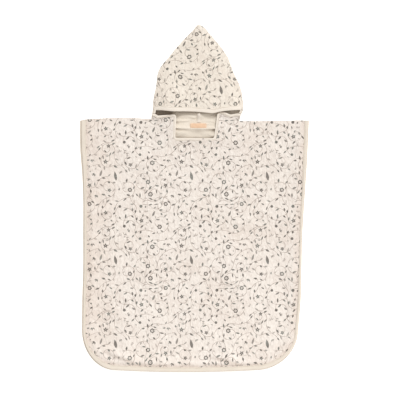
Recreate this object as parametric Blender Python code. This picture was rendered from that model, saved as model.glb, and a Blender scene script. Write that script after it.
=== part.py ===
# Hooded bath poncho for a small child, laid out flat with its front up.
#
# Frame: the cloth lies on z = 0. +Y runs from the hem to the hood's point, +X
# to the wearer's left, +Z up off the surface. Garment heights ("rise") are
# measured from the shoulder line, towards the hood positive.
#
# The cloth is printed muslin backed with towelling. The pieces are cut and
# sewn as follows:
#   back_panel         neck cut as a shallow scoop, round lower corners
#   front_panel        neck cut as a wide square notch, round lower corners
#   hood               one piece folded at its sides, seamed down the back
#   back_edge_tape     folded tape round the back panel's sides and hem
#   front_edge_tape    folded tape round the front panel's sides and hem
#   neck_tape          folded tape round the front neck notch
#   brim_tape          folded tape round the hood's face edge
#   hood_seam_tape     tape over the hood's centre back seam, inside
#   neck_label         plain woven label at the back neck, inside

import math
from collections import namedtuple

import bmesh
import bpy
from mathutils import Vector
from mathutils.geometry import delaunay_2d_cdt

MM = 0.001                # every size below is in millimetres

# ---------------------------------------------------------------- sizes
BODY_LENGTH = 634.0       # shoulder line to the middle of the hem
HOOD_RISE = 236.0         # shoulder line to the hood's point
SHOULDER_Y = (BODY_LENGTH - HOOD_RISE) / 2   # centres the garment on the origin

CLOTH = 1.6               # muslin and towelling, sewn as one
TAPE = 1.0                # one leg of the folded tape
GAP = 0.3                 # clearance at every seam and between layers
EDGE_TAPE = 11.0          # finished width round the sides and hem
BRIM_TAPE = 11.0          # finished width on the hood's face edge
NECK_TAPE = 6.5           # finished width on the neck notch

HEM_BOW = 5.0             # the hem is this much lower in its middle
CORNER_DROP = 528.0       # the lower corners start this far below the shoulders
CORNER_LEFT = 85.0        # radius of the lower corners
CORNER_RIGHT = 108.0
STEP_SIDE = 33.0          # spacing of the sections along sides and hem
STEP_GRID = 33.0          # spacing of the front's inner points
STEP_BACK = 75.0          # the back is plain and flat, so it needs few

POINT_X = 11.4            # the hood's point
INNER_POINT = 222.0       # rise of the hollow's end inside the point
FOLD = 6.0                # height of the hood's side folds
CHEEK_LEFT = 0.963        # where the face edge turns down, as a share of the half width
CHEEK_RIGHT = 0.972
CHEEK_RISE = 13.0         # the cheek ends this far above the shoulder line
SWELL = 8.0               # the face edge stands this much higher on one side,
SWELL_AT, SWELL_WIDE = -0.66, 0.27    # as shares of the half width

LABEL_LENGTH, LABEL_HEIGHT = 40.0, 11.5
LABEL_X, LABEL_RISE = 10.0, -17.6
SEAM_TAPE = 10.0
SEAM_TAPE_X = 11.5
SEAM_TAPE_FROM, SEAM_TAPE_TO = -9.0, 200.0

# Finished half widths of the two body panels, by the drop from the shoulders.
Side = namedtuple("Side", "drop left right")
BACK_SIDES = [
    Side(0, 286.5, 287.0),
    Side(70, 286.0, 284.0),
    Side(135, 281.0, 280.5),
    Side(200, 278.5, 276.0),
    Side(290, 278.5, 270.5),
    Side(375, 278.5, 268.3),
    Side(460, 281.0, 266.0),
    Side(540, 281.5, 258.5),
]
FRONT_SIDES = [
    Side(0, 280.0, 284.5),
    Side(70, 279.0, 281.5),
    Side(135, 274.5, 278.0),
    Side(200, 272.5, 273.5),
    Side(290, 274.0, 268.2),
    Side(375, 275.5, 266.2),
    Side(460, 279.0, 264.0),
    Side(540, 280.0, 256.5),
]
FRONT_HEM_UP = 1.5        # the front hem lies this much above the back's

# The shoulder seam, left to right.
Shoulder = namedtuple("Shoulder", "x rise")
SHOULDERS = [
    Shoulder(-287, -4.5),
    Shoulder(-268, -1.5),
    Shoulder(-232, 1.2),
    Shoulder(-190, 3.0),
    Shoulder(-150, 2.2),
    Shoulder(-108, 0.0),
    Shoulder(112, -5.5),
    Shoulder(150, -5.6),
    Shoulder(200, -5.0),
    Shoulder(250, -4.2),
    Shoulder(287, -4.8),
]
# The back neck seam, where the hood is sewn to the back panel.
Seam = namedtuple("Seam", "x rise")
NECK_SEAM = [
    Seam(-108, 0.0),
    Seam(-80, -14.0),
    Seam(-45, -23.5),
    Seam(5, -25.5),
    Seam(52, -25.0),
    Seam(86, -17.0),
    Seam(112, -5.5),
]
# The finished edge of the front neck, left to right: two flaps and a notch.
Corner = namedtuple("Corner", "x rise radius")
FRONT_NECK = [
    Corner(-104.6, 12.0, 0),
    Corner(-98.0, 12.0, 8),
    Corner(-91.5, 7.4, 7),
    Corner(-62.0, 10.0, 40),
    Corner(-45.0, 14.3, 10),
    Corner(-47.5, -48.5, 4),
    Corner(48.5, -48.5, 4),
    Corner(54.5, -2.0, 80),
    Corner(56.6, 14.8, 8),
    Corner(84.0, 14.0, 30),
    Corner(103.0, 12.3, 30),
    Corner(115.2, 11.6, 0),
]
# The flaps stand up off the hood: middle, half width, height, and the rises
# between which the lift grows.
Lift = namedtuple("Lift", "x width height low high")
LIFTS = [
    Lift(-105, 10, 4.8, -4, 7),
    Lift(113, 10, 4.8, -4, 7),
    Lift(-74, 22, 6.0, -40, 12),
    Lift(82, 20, 4.6, -40, 12),
    Lift(-48, 13, 4.4, -50, -14),
    Lift(54, 13, 4.4, -50, -14),
]
# The hood, section by section from its point down: where its two side folds
# lie and how high its front layer stands over the back one.
Hood = namedtuple("Hood", "rise left right loft")
HOOD_SECTIONS = [
    Hood(235, 7.4, 15.2, 6.0),
    Hood(226, 0.0, 27.5, 7.0),
    Hood(211, -14.5, 40.0, 8.5),
    Hood(188, -36.5, 60.0, 10.0),
    Hood(154, -64.5, 84.0, 11.0),
    Hood(131, -83.8, 92.8, 12.0),
    Hood(113, -92.0, 99.5, 13.0),
    Hood(84, -95.5, 113.5, 14.0),
    Hood(50, -102.5, 121.0, 15.5),
    Hood(21, -104.5, 121.5, 16.5),
    Hood(0, -108.0, 112.5, 16.5),
    Hood(-30, -108.0, 112.5, 16.5),
]
# The hood's finished face edge, left to right.
Brim = namedtuple("Brim", "x rise")
BRIM_EDGE = [
    Brim(-103, 21.0),
    Brim(-60, 19.5),
    Brim(0, 17.0),
    Brim(44, 13.8),
    Brim(64, 16.8),
    Brim(90, 20.0),
    Brim(121, 22.0),
]
# The front's largest soft ridges: middle, direction, half length, half width,
# height.
Ridge = namedtuple("Ridge", "x rise angle length width height")
RIDGES = [
    Ridge(-70, -28, 78, 48, 22, 3.0),
    Ridge(80, -30, 98, 44, 24, 3.4),
    Ridge(-236, -150, 84, 130, 26, 3.2),
    Ridge(-150, -95, 150, 80, 30, 2.2),
    Ridge(178, -110, 30, 95, 32, 2.4),
    Ridge(236, -290, 95, 120, 28, 2.6),
    Ridge(20, -240, 12, 120, 36, 1.8),
    Ridge(-120, -400, 70, 110, 34, 2.2),
    Ridge(110, -430, 118, 100, 34, 2.0),
    Ridge(-165, -585, 80, 40, 18, 3.0),
    Ridge(86, -592, 96, 36, 18, 3.2),
]

# -------------------------------------------------------------- helpers


def through(rows, key, value, at):
    """A smooth curve through a table's rows, read at one place."""
    keys = [getattr(row, key) for row in rows]
    values = [getattr(row, value) for row in rows]
    if keys[0] > keys[-1]:
        keys.reverse()
        values.reverse()
    if at <= keys[0]:
        return values[0]
    if at >= keys[-1]:
        return values[-1]
    i = max(k for k in range(len(keys) - 1) if keys[k] <= at)

    def slope(k):
        lo, hi = max(k - 1, 0), min(k + 1, len(keys) - 1)
        return (values[hi] - values[lo]) / (keys[hi] - keys[lo])

    span = keys[i + 1] - keys[i]
    u = (at - keys[i]) / span
    a, b = slope(i) * span, slope(i + 1) * span
    return (values[i] * (2 * u**3 - 3 * u**2 + 1) + a * (u**3 - 2 * u**2 + u)
            + values[i + 1] * (3 * u**2 - 2 * u**3) + b * (u**3 - u**2))


def ease(u):
    """0 before 0, 1 after 1, smooth between."""
    u = min(max(u, 0.0), 1.0)
    return u * u * (3 - 2 * u)


def spread(start, end, step):
    """Evenly spaced numbers from start to end, about step apart."""
    count = max(1, round(abs(end - start) / step))
    return [start + (end - start) * k / count for k in range(count + 1)]


def nearest(point, chain):
    """Distance from a point to a chain of straight runs."""
    best = 1e9
    for a, b in zip(chain, chain[1:]):
        run = b - a
        u = min(max((point - a).dot(run) / run.length_squared, 0.0), 1.0)
        best = min(best, (point - a - run * u).length)
    return best


def inside(point, loop):
    """Whether a point lies inside a closed loop."""
    hit = False
    for a, b in zip(loop, loop[1:] + loop[:1]):
        if (a.y > point.y) != (b.y > point.y):
            if point.x < a.x + (b.x - a.x) * (point.y - a.y) / (b.y - a.y):
                hit = not hit
    return hit


NECK_LEFT, NECK_RIGHT = NECK_SEAM[0].x, NECK_SEAM[-1].x


def shoulder(x):
    return through(SHOULDERS, "x", "rise", x)


def neck_seam(x):
    return through(NECK_SEAM, "x", "rise", x)


def sides_and_hem(sides, up):
    """Finished edge from the left shoulder down, round and up to the right."""
    chain = []
    start = CORNER_DROP
    for drop in spread(0, start, STEP_SIDE):
        x = -through(sides, "drop", "left", drop)
        chain.append(Vector((x, -drop)))
    chain[0].y = shoulder(chain[0].x)
    left_x, right_x = chain[-1].x, through(sides, "drop", "right", start)
    foot_left, foot_right = left_x + CORNER_LEFT, right_x - CORNER_RIGHT
    middle, half = (foot_left + foot_right) / 2, (foot_right - foot_left) / 2

    def hem(x):
        return -(BODY_LENGTH - up - HEM_BOW * min(1, ((x - middle) / half) ** 2))

    deep = -start - hem(foot_left)
    for k in range(1, 8):
        a = math.pi / 2 * k / 8
        chain.append(Vector((foot_left - CORNER_LEFT * math.cos(a),
                             -start - deep * math.sin(a))))
    for x in spread(foot_left, foot_right, STEP_SIDE):
        chain.append(Vector((x, hem(x))))
    deep = -start - hem(foot_right)
    for k in range(7, 0, -1):
        a = math.pi / 2 * k / 8
        chain.append(Vector((foot_right + CORNER_RIGHT * math.cos(a),
                             -start - deep * math.sin(a))))
    for drop in spread(start, 0, STEP_SIDE):
        x = through(sides, "drop", "right", drop)
        chain.append(Vector((x, -drop)))
    chain[-1].y = shoulder(chain[-1].x)
    return chain


def rounded(corners, step):
    """A chain through corners, each turned with its own radius."""
    chain = []
    points = [Vector((c.x, c.rise)) for c in corners]

    def straight_to(end):
        for u in spread(0, 1, step / max((end - chain[-1]).length, 1e-6))[1:]:
            line.append(chain[-1].lerp(end, u))
        chain.extend(line)

    chain.append(points[0])
    for k in range(1, len(points) - 1):
        into = (points[k] - points[k - 1]).normalized()
        out = (points[k + 1] - points[k]).normalized()
        turn = math.atan2(into.cross(out), into.dot(out))
        radius = corners[k].radius
        reach = radius * math.tan(abs(turn) / 2)
        line = []
        straight_to(points[k] - into * reach)
        side = Vector((-into.y, into.x)) * math.copysign(1, turn)
        centre = points[k] - into * reach + side * radius
        parts = max(1, math.ceil(abs(turn) / math.radians(16)))
        arm = chain[-1] - centre
        for j in range(1, parts + 1):
            a = turn * j / parts
            chain.append(centre + Vector((arm.x * math.cos(a) - arm.y * math.sin(a),
                                          arm.x * math.sin(a) + arm.y * math.cos(a))))
    line = []
    straight_to(points[-1])
    return chain


def inward(chain, side):
    """Unit directions across a chain into the cloth, left (1) or right (-1)."""
    arrows = []
    for k in range(len(chain)):
        run = chain[min(k + 1, len(chain) - 1)] - chain[max(k - 1, 0)]
        arrows.append(Vector((-run.y, run.x)).normalized() * side)
    return arrows


def along_shoulder(x, way):
    """Unit direction along the shoulder seam, into the cloth."""
    return Vector((12 * way, shoulder(x + 12 * way) - shoulder(x))).normalized()


def on_shoulder(xs):
    return [Vector((x, shoulder(x))) for x in xs]


def material(name, colour, roughness):
    mat = bpy.data.materials.new(name)
    mat.use_nodes = True
    shader = mat.node_tree.nodes["Principled BSDF"]
    shader.inputs["Base Color"].default_value = (*colour, 1.0)
    shader.inputs["Roughness"].default_value = roughness
    shader.inputs["Metallic"].default_value = 0.0
    mat.diffuse_color = (*colour, 1.0)
    return mat


def add_object(name, verts, faces, mat, smooth=True):
    """One closed solid from points in millimetres (x, rise, z)."""
    mesh = bpy.data.meshes.new(name)
    bm = bmesh.new()
    made = [bm.verts.new((x * MM, (rise + SHOULDER_Y) * MM, z * MM))
            for x, rise, z in verts]
    for face in faces:
        bm.faces.new([made[k] for k in face])
    bmesh.ops.recalc_face_normals(bm, faces=bm.faces[:])
    bm.to_mesh(mesh)
    bm.free()
    if smooth:
        mesh.shade_smooth()
        mesh.set_sharp_from_angle(angle=math.radians(35))
    mesh.materials.append(mat)
    ob = bpy.data.objects.new(name, mesh)
    bpy.context.collection.objects.link(ob)
    ob.parent = garment
    return ob


# ------------------------------------------------------- flat-lying panels


def panel(name, loop, chains, loose, height, mat):
    """A wall of cloth inside a loop: height(point) is its middle surface."""
    points = list(loop)
    edges = [(k, (k + 1) % len(loop)) for k in range(len(loop))]
    for chain in chains:
        ids = []
        for p in chain:
            same = [k for k, q in enumerate(points) if (p - q).length < 0.01]
            if same:
                ids.append(same[0])
            else:
                points.append(p)
                ids.append(len(points) - 1)
        edges += list(zip(ids, ids[1:]))
    points += loose
    flat, _, faces, _, _, _ = delaunay_2d_cdt(
        points, edges, [list(range(len(loop)))], 1, 1e-5)
    count = len(flat)
    verts = [(p.x, p.y, height(p) + CLOTH / 2) for p in flat]
    verts += [(p.x, p.y, height(p) - CLOTH / 2) for p in flat]
    solid = [list(f) for f in faces]
    solid += [[k + count for k in reversed(f)] for f in faces]
    seen = {}
    for f in faces:
        for a, b in zip(f, f[1:] + f[:1]):
            seen[(a, b)] = True
    for a, b in seen:
        if (b, a) not in seen:
            solid.append([b, a, a + count, b + count])
    return add_object(name, verts, solid, mat)


def rays(chain, arrows, distance):
    return [p + n * distance for p, n in zip(chain, arrows)]


def folded_tape(name, stations, mat):
    """Tape folded over an edge. A station is (edge, way, up, width): a point
    on the cloth's middle surface where the finished fold lies, the direction
    into the cloth, the cloth's normal there and the width of the legs."""
    inner, outer = CLOTH / 2 + GAP, CLOTH / 2 + GAP + TAPE
    verts, faces = [], []
    for edge, way, up, width in stations:
        section = [(width, outer), (0.8, outer), (0.0, 0.55 * outer),
                   (0.0, -0.55 * outer), (0.8, -outer), (width, -outer),
                   (width, -inner), (TAPE, -inner), (TAPE, inner), (width, inner)]
        for along, lift in section:
            verts.append(tuple(edge + way * along + up * lift))
    size = 10
    for k in range(len(stations) - 1):
        for j in range(size):
            a, b = k * size + j, k * size + (j + 1) % size
            faces.append([a, b, b + size, a + size])
    # Each end is closed leg by leg, because the section is a deep U.
    for base in (0, (len(stations) - 1) * size):
        for quad in ((0, 1, 8, 9), (1, 2, 8), (2, 3, 7, 8), (3, 4, 7), (4, 5, 6, 7)):
            faces.append([base + j for j in quad])
    return add_object(name, verts, faces, mat)


def strip(name, centre_line, width, low, high, mat):
    """A flat strip lying level along a line."""
    verts, faces = [], []
    for p, way in centre_line:
        for side, z in ((-1, low), (1, low), (1, high), (-1, high)):
            q = p + way * (side * width / 2)
            verts.append((q.x, q.y, z))
    last = len(centre_line) - 1
    for k in range(last):
        for j in range(4):
            a, b = 4 * k + j, 4 * k + (j + 1) % 4
            faces.append([a, b, b + 4, a + 4])
    faces.append([0, 1, 2, 3])
    faces.append([4 * last + j for j in (3, 2, 1, 0)])
    return add_object(name, verts, faces, mat, smooth=False)


# ------------------------------------------------------------- the scene

for ob in list(bpy.data.objects):
    bpy.data.objects.remove(ob, do_unlink=True)

garment = bpy.data.objects.new("garment", None)
bpy.context.collection.objects.link(garment)

PRINTED = material("printed_muslin", (0.82, 0.76, 0.68), 0.9)
BINDING = material("plain_muslin_tape", (0.87, 0.80, 0.71), 0.85)
LABEL = material("woven_label", (0.90, 0.63, 0.43), 0.6)

RAW = TAPE + GAP          # the raw edge lies this far inside the tape's fold

# ------------------------------------------------------------ back panel

back_edge = sides_and_hem(BACK_SIDES, 0.0)
back_in = inward(back_edge, 1)
back_in[0] = along_shoulder(back_edge[0].x, 1)
back_in[-1] = along_shoulder(back_edge[-1].x, -1)
BACK_FIELD = CLOTH / 2
BACK_BOUND = TAPE + GAP + CLOTH / 2


def back_height(p):
    return BACK_FIELD + (BACK_BOUND - BACK_FIELD) * (
        1 - ease((nearest(p, back_edge) - (EDGE_TAPE + 1.2)) / 15))


HALF_COLUMNS = [0.0, 0.17, 0.34, 0.51, 0.67, 0.8, 0.9]
COLUMNS = ([-1.0, -CHEEK_LEFT] + [-s for s in reversed(HALF_COLUMNS[1:])]
           + HALF_COLUMNS + [CHEEK_RIGHT, 1.0])


def fold_centres(rise):
    """Where the hood's two side folds turn, at one height."""
    left = through(HOOD_SECTIONS, "rise", "left", rise)
    right = through(HOOD_SECTIONS, "rise", "right", rise)
    return left + FOLD / 2, right - FOLD / 2


def hood_x(s, rise):
    a, b = fold_centres(rise)
    return (a + b) / 2 + s * (b - a) / 2


neck_xs = [hood_x(s, -2.0) for s in COLUMNS]
back_loop = rays(back_edge, back_in, RAW)
ring = rays(back_edge, back_in, EDGE_TAPE + 1)
level_end = rays(back_edge, back_in, 28)
back_loop += on_shoulder([ring[-1].x]
                         + spread(level_end[-1].x, NECK_RIGHT + GAP, 42))
for x in reversed(neck_xs):
    back_loop.append(Vector((x, neck_seam(x) - GAP / 2)))
back_loop += on_shoulder(spread(NECK_LEFT - GAP, level_end[0].x, 42)
                         + [ring[0].x])
loose = level_end[1:-1]
for x in spread(-210, 200, STEP_BACK):
    for rise in spread(-70, -570, STEP_BACK):
        p = Vector((x, rise))
        if inside(p, ring) and nearest(p, back_edge) > 55:
            loose.append(p)
panel("back_panel", back_loop, [ring], loose, back_height, PRINTED)

folded_tape("back_edge_tape",
            [(Vector((p.x, p.y, BACK_BOUND)), Vector((n.x, n.y, 0)),
              Vector((0, 0, 1)), EDGE_TAPE) for p, n in zip(back_edge, back_in)],
            BINDING)

# ----------------------------------------------------------- front panel

front_edge = sides_and_hem(FRONT_SIDES, FRONT_HEM_UP)
front_in = inward(front_edge, 1)
front_in[0] = along_shoulder(front_edge[0].x, 1)
front_in[-1] = along_shoulder(front_edge[-1].x, -1)
neck_edge = rounded(FRONT_NECK, 16)
neck_in = inward(neck_edge, -1)
FRONT_FIELD = CLOTH + GAP + CLOTH / 2
FRONT_BOUND = BACK_BOUND + CLOTH / 2 + GAP + TAPE + GAP + TAPE + GAP + CLOTH / 2
NECK_BOUND = CLOTH + GAP + TAPE + GAP + CLOTH / 2


def ridges(p):
    lift = 0.0
    for r in RIDGES:
        a = math.radians(r.angle)
        d = p - Vector((r.x, r.rise))
        along = (d.x * math.cos(a) + d.y * math.sin(a)) / r.length
        across = (-d.x * math.sin(a) + d.y * math.cos(a)) / r.width
        lift += r.height * math.exp(-along * along - across * across)
    return lift * ease((shoulder(p.x) - p.y) / 30)


def lifts(p):
    return sum(f.height * math.exp(-((p.x - f.x) / f.width) ** 2)
               * ease((p.y - f.low) / (f.high - f.low)) for f in LIFTS)


def front_height(p):
    bound = 1 - ease((nearest(p, front_edge) - (EDGE_TAPE + 1.2)) / 20)
    neck = 1 - ease((nearest(p, neck_edge) - (NECK_TAPE + 1.2)) / 14)
    return (FRONT_FIELD + (FRONT_BOUND - FRONT_FIELD) * bound
            + (NECK_BOUND - FRONT_FIELD) * neck * (1 - bound) + ridges(p) + lifts(p))


# Along a taped edge the cloth is level across the tape.
level = {}


def hold_level(edge, arrows, width):
    for p, n in zip(edge, arrows):
        z = front_height(p)
        for d in (RAW, width + 1):
            q = p + n * d
            level[(round(q.x, 3), round(q.y, 3))] = z


hold_level(front_edge, front_in, EDGE_TAPE)
hold_level(neck_edge, neck_in, NECK_TAPE)

front_loop = rays(front_edge, front_in, RAW)
ring = rays(front_edge, front_in, EDGE_TAPE + 1)
neck_ring = rays(neck_edge, neck_in, NECK_TAPE + 1)
ramp = [rays(front_edge, front_in, d) for d in (21, 34)]
front_loop += on_shoulder([ring[-1].x, ramp[0][-1].x]
                          + spread(ramp[1][-1].x, NECK_RIGHT + GAP, 30))
front_loop.append(neck_ring[-1])
front_loop += reversed(rays(neck_edge, neck_in, RAW))
front_loop.append(neck_ring[0])
front_loop += on_shoulder(spread(NECK_LEFT - GAP, ramp[1][0].x, 30)
                          + [ramp[0][0].x, ring[0].x])
loose = []
for chain, edge in ((ramp[0], front_edge), (ramp[1], front_edge),
                    (rays(neck_edge, neck_in, 16), neck_edge)):
    want = (chain[5] - edge[5]).length * 0.94
    for p in chain:
        if (nearest(p, edge) > want and p.y < shoulder(p.x) - 6
                and all((p - q).length > 6 for q in loose)):
            loose.append(p)
for x in spread(-245, 245, STEP_GRID):
    for rise in spread(-14, -600, STEP_GRID):
        p = Vector((x, rise))
        if (inside(p, front_loop) and nearest(p, front_edge) > 46
                and nearest(p, neck_edge) > 23):
            loose.append(p)
panel("front_panel", front_loop, [ring, neck_ring], loose,
      lambda p: level.get((round(p.x, 3), round(p.y, 3)), front_height(p)), PRINTED)

folded_tape("front_edge_tape",
            [(Vector((p.x, p.y, front_height(p))), Vector((n.x, n.y, 0)),
              Vector((0, 0, 1)), EDGE_TAPE) for p, n in zip(front_edge, front_in)],
            BINDING)
folded_tape("neck_tape",
            [(Vector((p.x, p.y, front_height(p))), Vector((n.x, n.y, 0)),
              Vector((0, 0, 1)), NECK_TAPE) for p, n in zip(neck_edge, neck_in)],
            BINDING)

# ------------------------------------------------------------------ hood
# The hood is a flattened bag, closed at its point. Its wall is laid out in
# columns, round from the front layer over one fold, under the back layer and
# over the other fold, and in rows from the point to the face edge. Below the
# face edge only the cheeks, the folds and the back layer go on, to the neck.

FRONT_ROWS = [235, 226, 211, 188, 170, 154, 142, 131, 113, 84, 55]
BELOW = 3                 # rows from the face edge down to the neck seam
FOLD_ANGLES = [54, 18, -18, -54]


def brim_raw(x):
    return through(BRIM_EDGE, "x", "rise", x) + RAW


def loft(s, rise):
    top = through(HOOD_SECTIONS, "rise", "loft", rise)
    flat = 3 + 3 * ease((110 - rise) / 60)    # squarer towards the face edge
    swell = (SWELL * math.exp(-((s - SWELL_AT) / SWELL_WIDE) ** 2) * (1 - s ** 8)
             * ease((110 - rise) / 80))
    return FOLD + (top - FOLD) * (1 - abs(s) ** flat) + swell


def hood_point(kind, s, rise):
    """Outer and inner point of the wall at one column and height."""
    a, b = fold_centres(rise)
    if kind == "front":
        x, z = hood_x(s, rise), loft(s, rise)
        return Vector((x, rise, z)), Vector((x, rise, z - CLOTH))
    if kind == "back":
        x = hood_x(s, rise)
        return Vector((x, rise, 0)), Vector((x, rise, CLOTH))
    turn = math.radians(s)
    side = 1 if kind == "right" else -1
    centre = b if side > 0 else a
    both = []
    for r in (FOLD / 2, FOLD / 2 - CLOTH):
        both.append(Vector((centre + side * r * math.cos(turn), rise,
                            FOLD / 2 + r * math.sin(turn))))
    return both[0], both[1]


columns = [("front", s) for s in COLUMNS]
columns += [("right", a) for a in FOLD_ANGLES]
columns += [("back", s) for s in reversed(COLUMNS)]
columns += [("left", a) for a in reversed(FOLD_ANGLES)]


def column_end(kind, s):
    """Height at which a column ends below the face edge."""
    if kind == "front":
        return CHEEK_RISE
    if kind == "back":
        return neck_seam(hood_x(s, -2.0)) + GAP / 2
    side = 1 if kind == "right" else -1
    foot = neck_seam(hood_x(side, -2.0)) + GAP / 2
    return foot + (CHEEK_RISE - foot) * (s + 90) / 180


def face_edge(kind, s):
    """Height of the row that ends the front layer, in any column."""
    place = s if kind in ("front", "back") else (1 if kind == "right" else -1)
    return brim_raw(hood_x(place, 20.0))


grid = []                 # one list of (outer, inner) points for each column
for kind, s in columns:
    edge, end = face_edge(kind, s), column_end(kind, s)
    heights = FRONT_ROWS + [edge + BRIM_TAPE - RAW + 1, edge]
    column = [hood_point(kind, s, h) for h in heights]
    for k in range(1, BELOW + 1):
        h = edge + (end - edge) * k / BELOW
        outer, inner = hood_point(kind, s, h)
        if kind == "back":      # straight down to the seam's own places
            u = k / BELOW
            x = column[len(heights) - 1][0].x * (1 - u) + hood_x(s, -2.0) * u
            outer.x = inner.x = x
        column.append((outer, inner))
    grid.append(column)

rows = len(grid[0])
brim_row = len(FRONT_ROWS) + 1
across = len(columns)
cheek_left = COLUMNS.index(-CHEEK_LEFT)
cheek_right = COLUMNS.index(CHEEK_RIGHT)
inner_first = 2           # the inner wall's point lies below the outer's


def cut_away(c, r):
    """Cells of the front layer below the face edge, between the cheeks."""
    return r >= brim_row and cheek_left <= c < cheek_right


verts, faces, index = [], [], {}


def vert(layer, c, r):
    c %= across
    if layer == 1 and r < inner_first:
        key = (1, 0, -1)
        if key not in index:
            index[key] = len(verts)
            verts.append((POINT_X, INNER_POINT, FOLD / 2))
        return index[key]
    key = (layer, c, r)
    if key not in index:
        index[key] = len(verts)
        verts.append(tuple(grid[c][r][layer]))
    return index[key]


for r in range(rows - 1):
    for c in range(across):
        if cut_away(c, r):
            continue
        faces.append([vert(0, c, r), vert(0, c + 1, r),
                      vert(0, c + 1, r + 1), vert(0, c, r + 1)])
        if r + 1 >= inner_first:
            quad = [vert(1, c, r), vert(1, c, r + 1),
                    vert(1, c + 1, r + 1), vert(1, c + 1, r)]
            faces.append(quad[:3] if quad[0] == quad[3] else quad)
tip = len(verts)
verts.append((POINT_X, HOOD_RISE, FOLD / 2))
for c in range(across):
    faces.append([tip, vert(0, c + 1, 0), vert(0, c, 0)])

# The wall's open rim: face edge, cheeks, fold ends and neck seam.
last = rows - 1


def rim(c0, r0, c1, r1):
    faces.append([vert(0, c0, r0), vert(0, c1, r1), vert(1, c1, r1), vert(1, c0, r0)])


for c in range(cheek_left, cheek_right):
    rim(c, brim_row, c + 1, brim_row)
for r in range(brim_row, last):
    rim(cheek_left, r + 1, cheek_left, r)
    rim(cheek_right, r, cheek_right, r + 1)
for c in range(cheek_right, across + cheek_left):
    rim(c, last, c + 1, last)
add_object("hood", verts, faces, PRINTED)

# ------------------------------------------------------------- brim tape


def middle_of(c, r):
    outer, inner = grid[c % across][r]
    return (outer + inner) / 2


def brim_station(edge_at, inner_at):
    edge, inner = middle_of(*edge_at), middle_of(*inner_at)
    way = (inner - edge).normalized()
    return (edge - way * RAW, way, Vector((0, 0, 1)),
            min(BRIM_TAPE, (inner - edge).length + RAW - 0.7))


stations = [brim_station((cheek_left, r), (cheek_left - 1, r))
            for r in range(last, brim_row, -1)]
stations.append(brim_station((cheek_left, brim_row), (cheek_left - 1, brim_row - 1)))
stations += [brim_station((c, brim_row), (c, brim_row - 1))
             for c in range(cheek_left + 1, cheek_right)]
stations.append(brim_station((cheek_right, brim_row), (cheek_right + 1, brim_row - 1)))
stations += [brim_station((cheek_right, r), (cheek_right + 1, r))
             for r in range(brim_row + 1, last + 1)]
folded_tape("brim_tape", stations, BINDING)

# -------------------------------------------------- seam tape and label

strip("hood_seam_tape",
      [(Vector((SEAM_TAPE_X, rise)), Vector((1, 0)))
       for rise in spread(SEAM_TAPE_FROM, SEAM_TAPE_TO, 40)],
      SEAM_TAPE, CLOTH + GAP, CLOTH + GAP + TAPE, BINDING)
strip("neck_label",
      [(Vector((x, LABEL_RISE)), Vector((0, 1)))
       for x in spread(LABEL_X - LABEL_LENGTH / 2, LABEL_X + LABEL_LENGTH / 2, 10)],
      LABEL_HEIGHT, CLOTH + GAP, CLOTH + GAP + TAPE, LABEL)
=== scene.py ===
# Hooded bath poncho, laid out flat with its front up: finish and cloth.
#
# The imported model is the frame. Each of its plain cloth solids is replaced by
# a thin shell of fine mesh on the same form, with its creases, its sewn edges
# and its print. Sizes are in millimetres, as in the part's source: x, rise
# above the shoulder line, and z above the surface.

import math
import random
from collections import namedtuple

import bpy
import numpy as np
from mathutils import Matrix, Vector, noise
from mathutils.geometry import delaunay_2d_cdt


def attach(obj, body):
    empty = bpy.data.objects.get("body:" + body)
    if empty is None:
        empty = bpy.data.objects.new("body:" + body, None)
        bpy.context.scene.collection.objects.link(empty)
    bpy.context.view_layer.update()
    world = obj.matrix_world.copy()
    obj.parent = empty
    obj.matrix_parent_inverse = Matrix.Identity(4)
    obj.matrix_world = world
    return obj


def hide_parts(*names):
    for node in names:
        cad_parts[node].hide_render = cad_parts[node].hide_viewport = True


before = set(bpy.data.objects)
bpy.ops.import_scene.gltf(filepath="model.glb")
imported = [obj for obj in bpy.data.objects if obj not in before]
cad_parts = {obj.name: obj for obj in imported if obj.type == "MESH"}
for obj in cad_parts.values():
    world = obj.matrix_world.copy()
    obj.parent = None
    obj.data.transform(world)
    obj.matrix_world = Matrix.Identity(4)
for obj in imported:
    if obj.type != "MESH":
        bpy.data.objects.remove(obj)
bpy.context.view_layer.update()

MM = 0.001

# ------------------------------------------------ sizes of the part's source
BODY_LENGTH = 634.0
HOOD_RISE = 236.0
SHOULDER_Y = (BODY_LENGTH - HOOD_RISE) / 2
CLOTH = 1.6
TAPE = 1.0
GAP = 0.3
RAW = TAPE + GAP
EDGE_TAPE = 11.0
BRIM_TAPE = 11.0
NECK_TAPE = 6.5
HEM_BOW = 5.0
CORNER_DROP = 528.0
CORNER_LEFT = 85.0
CORNER_RIGHT = 108.0
POINT_X = 11.4
INNER_POINT = 222.0
FOLD = 6.0
CHEEK_LEFT = 0.963
CHEEK_RIGHT = 0.972
CHEEK_RISE = 13.0
SWELL, SWELL_AT, SWELL_WIDE = 8.0, -0.66, 0.27
LABEL_LENGTH, LABEL_HEIGHT = 40.0, 11.5
LABEL_X, LABEL_RISE = 10.0, -17.6
SEAM_TAPE = 10.0
SEAM_TAPE_X = 11.5
SEAM_TAPE_FROM, SEAM_TAPE_TO = -9.0, 200.0
FRONT_HEM_UP = 1.5

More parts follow.
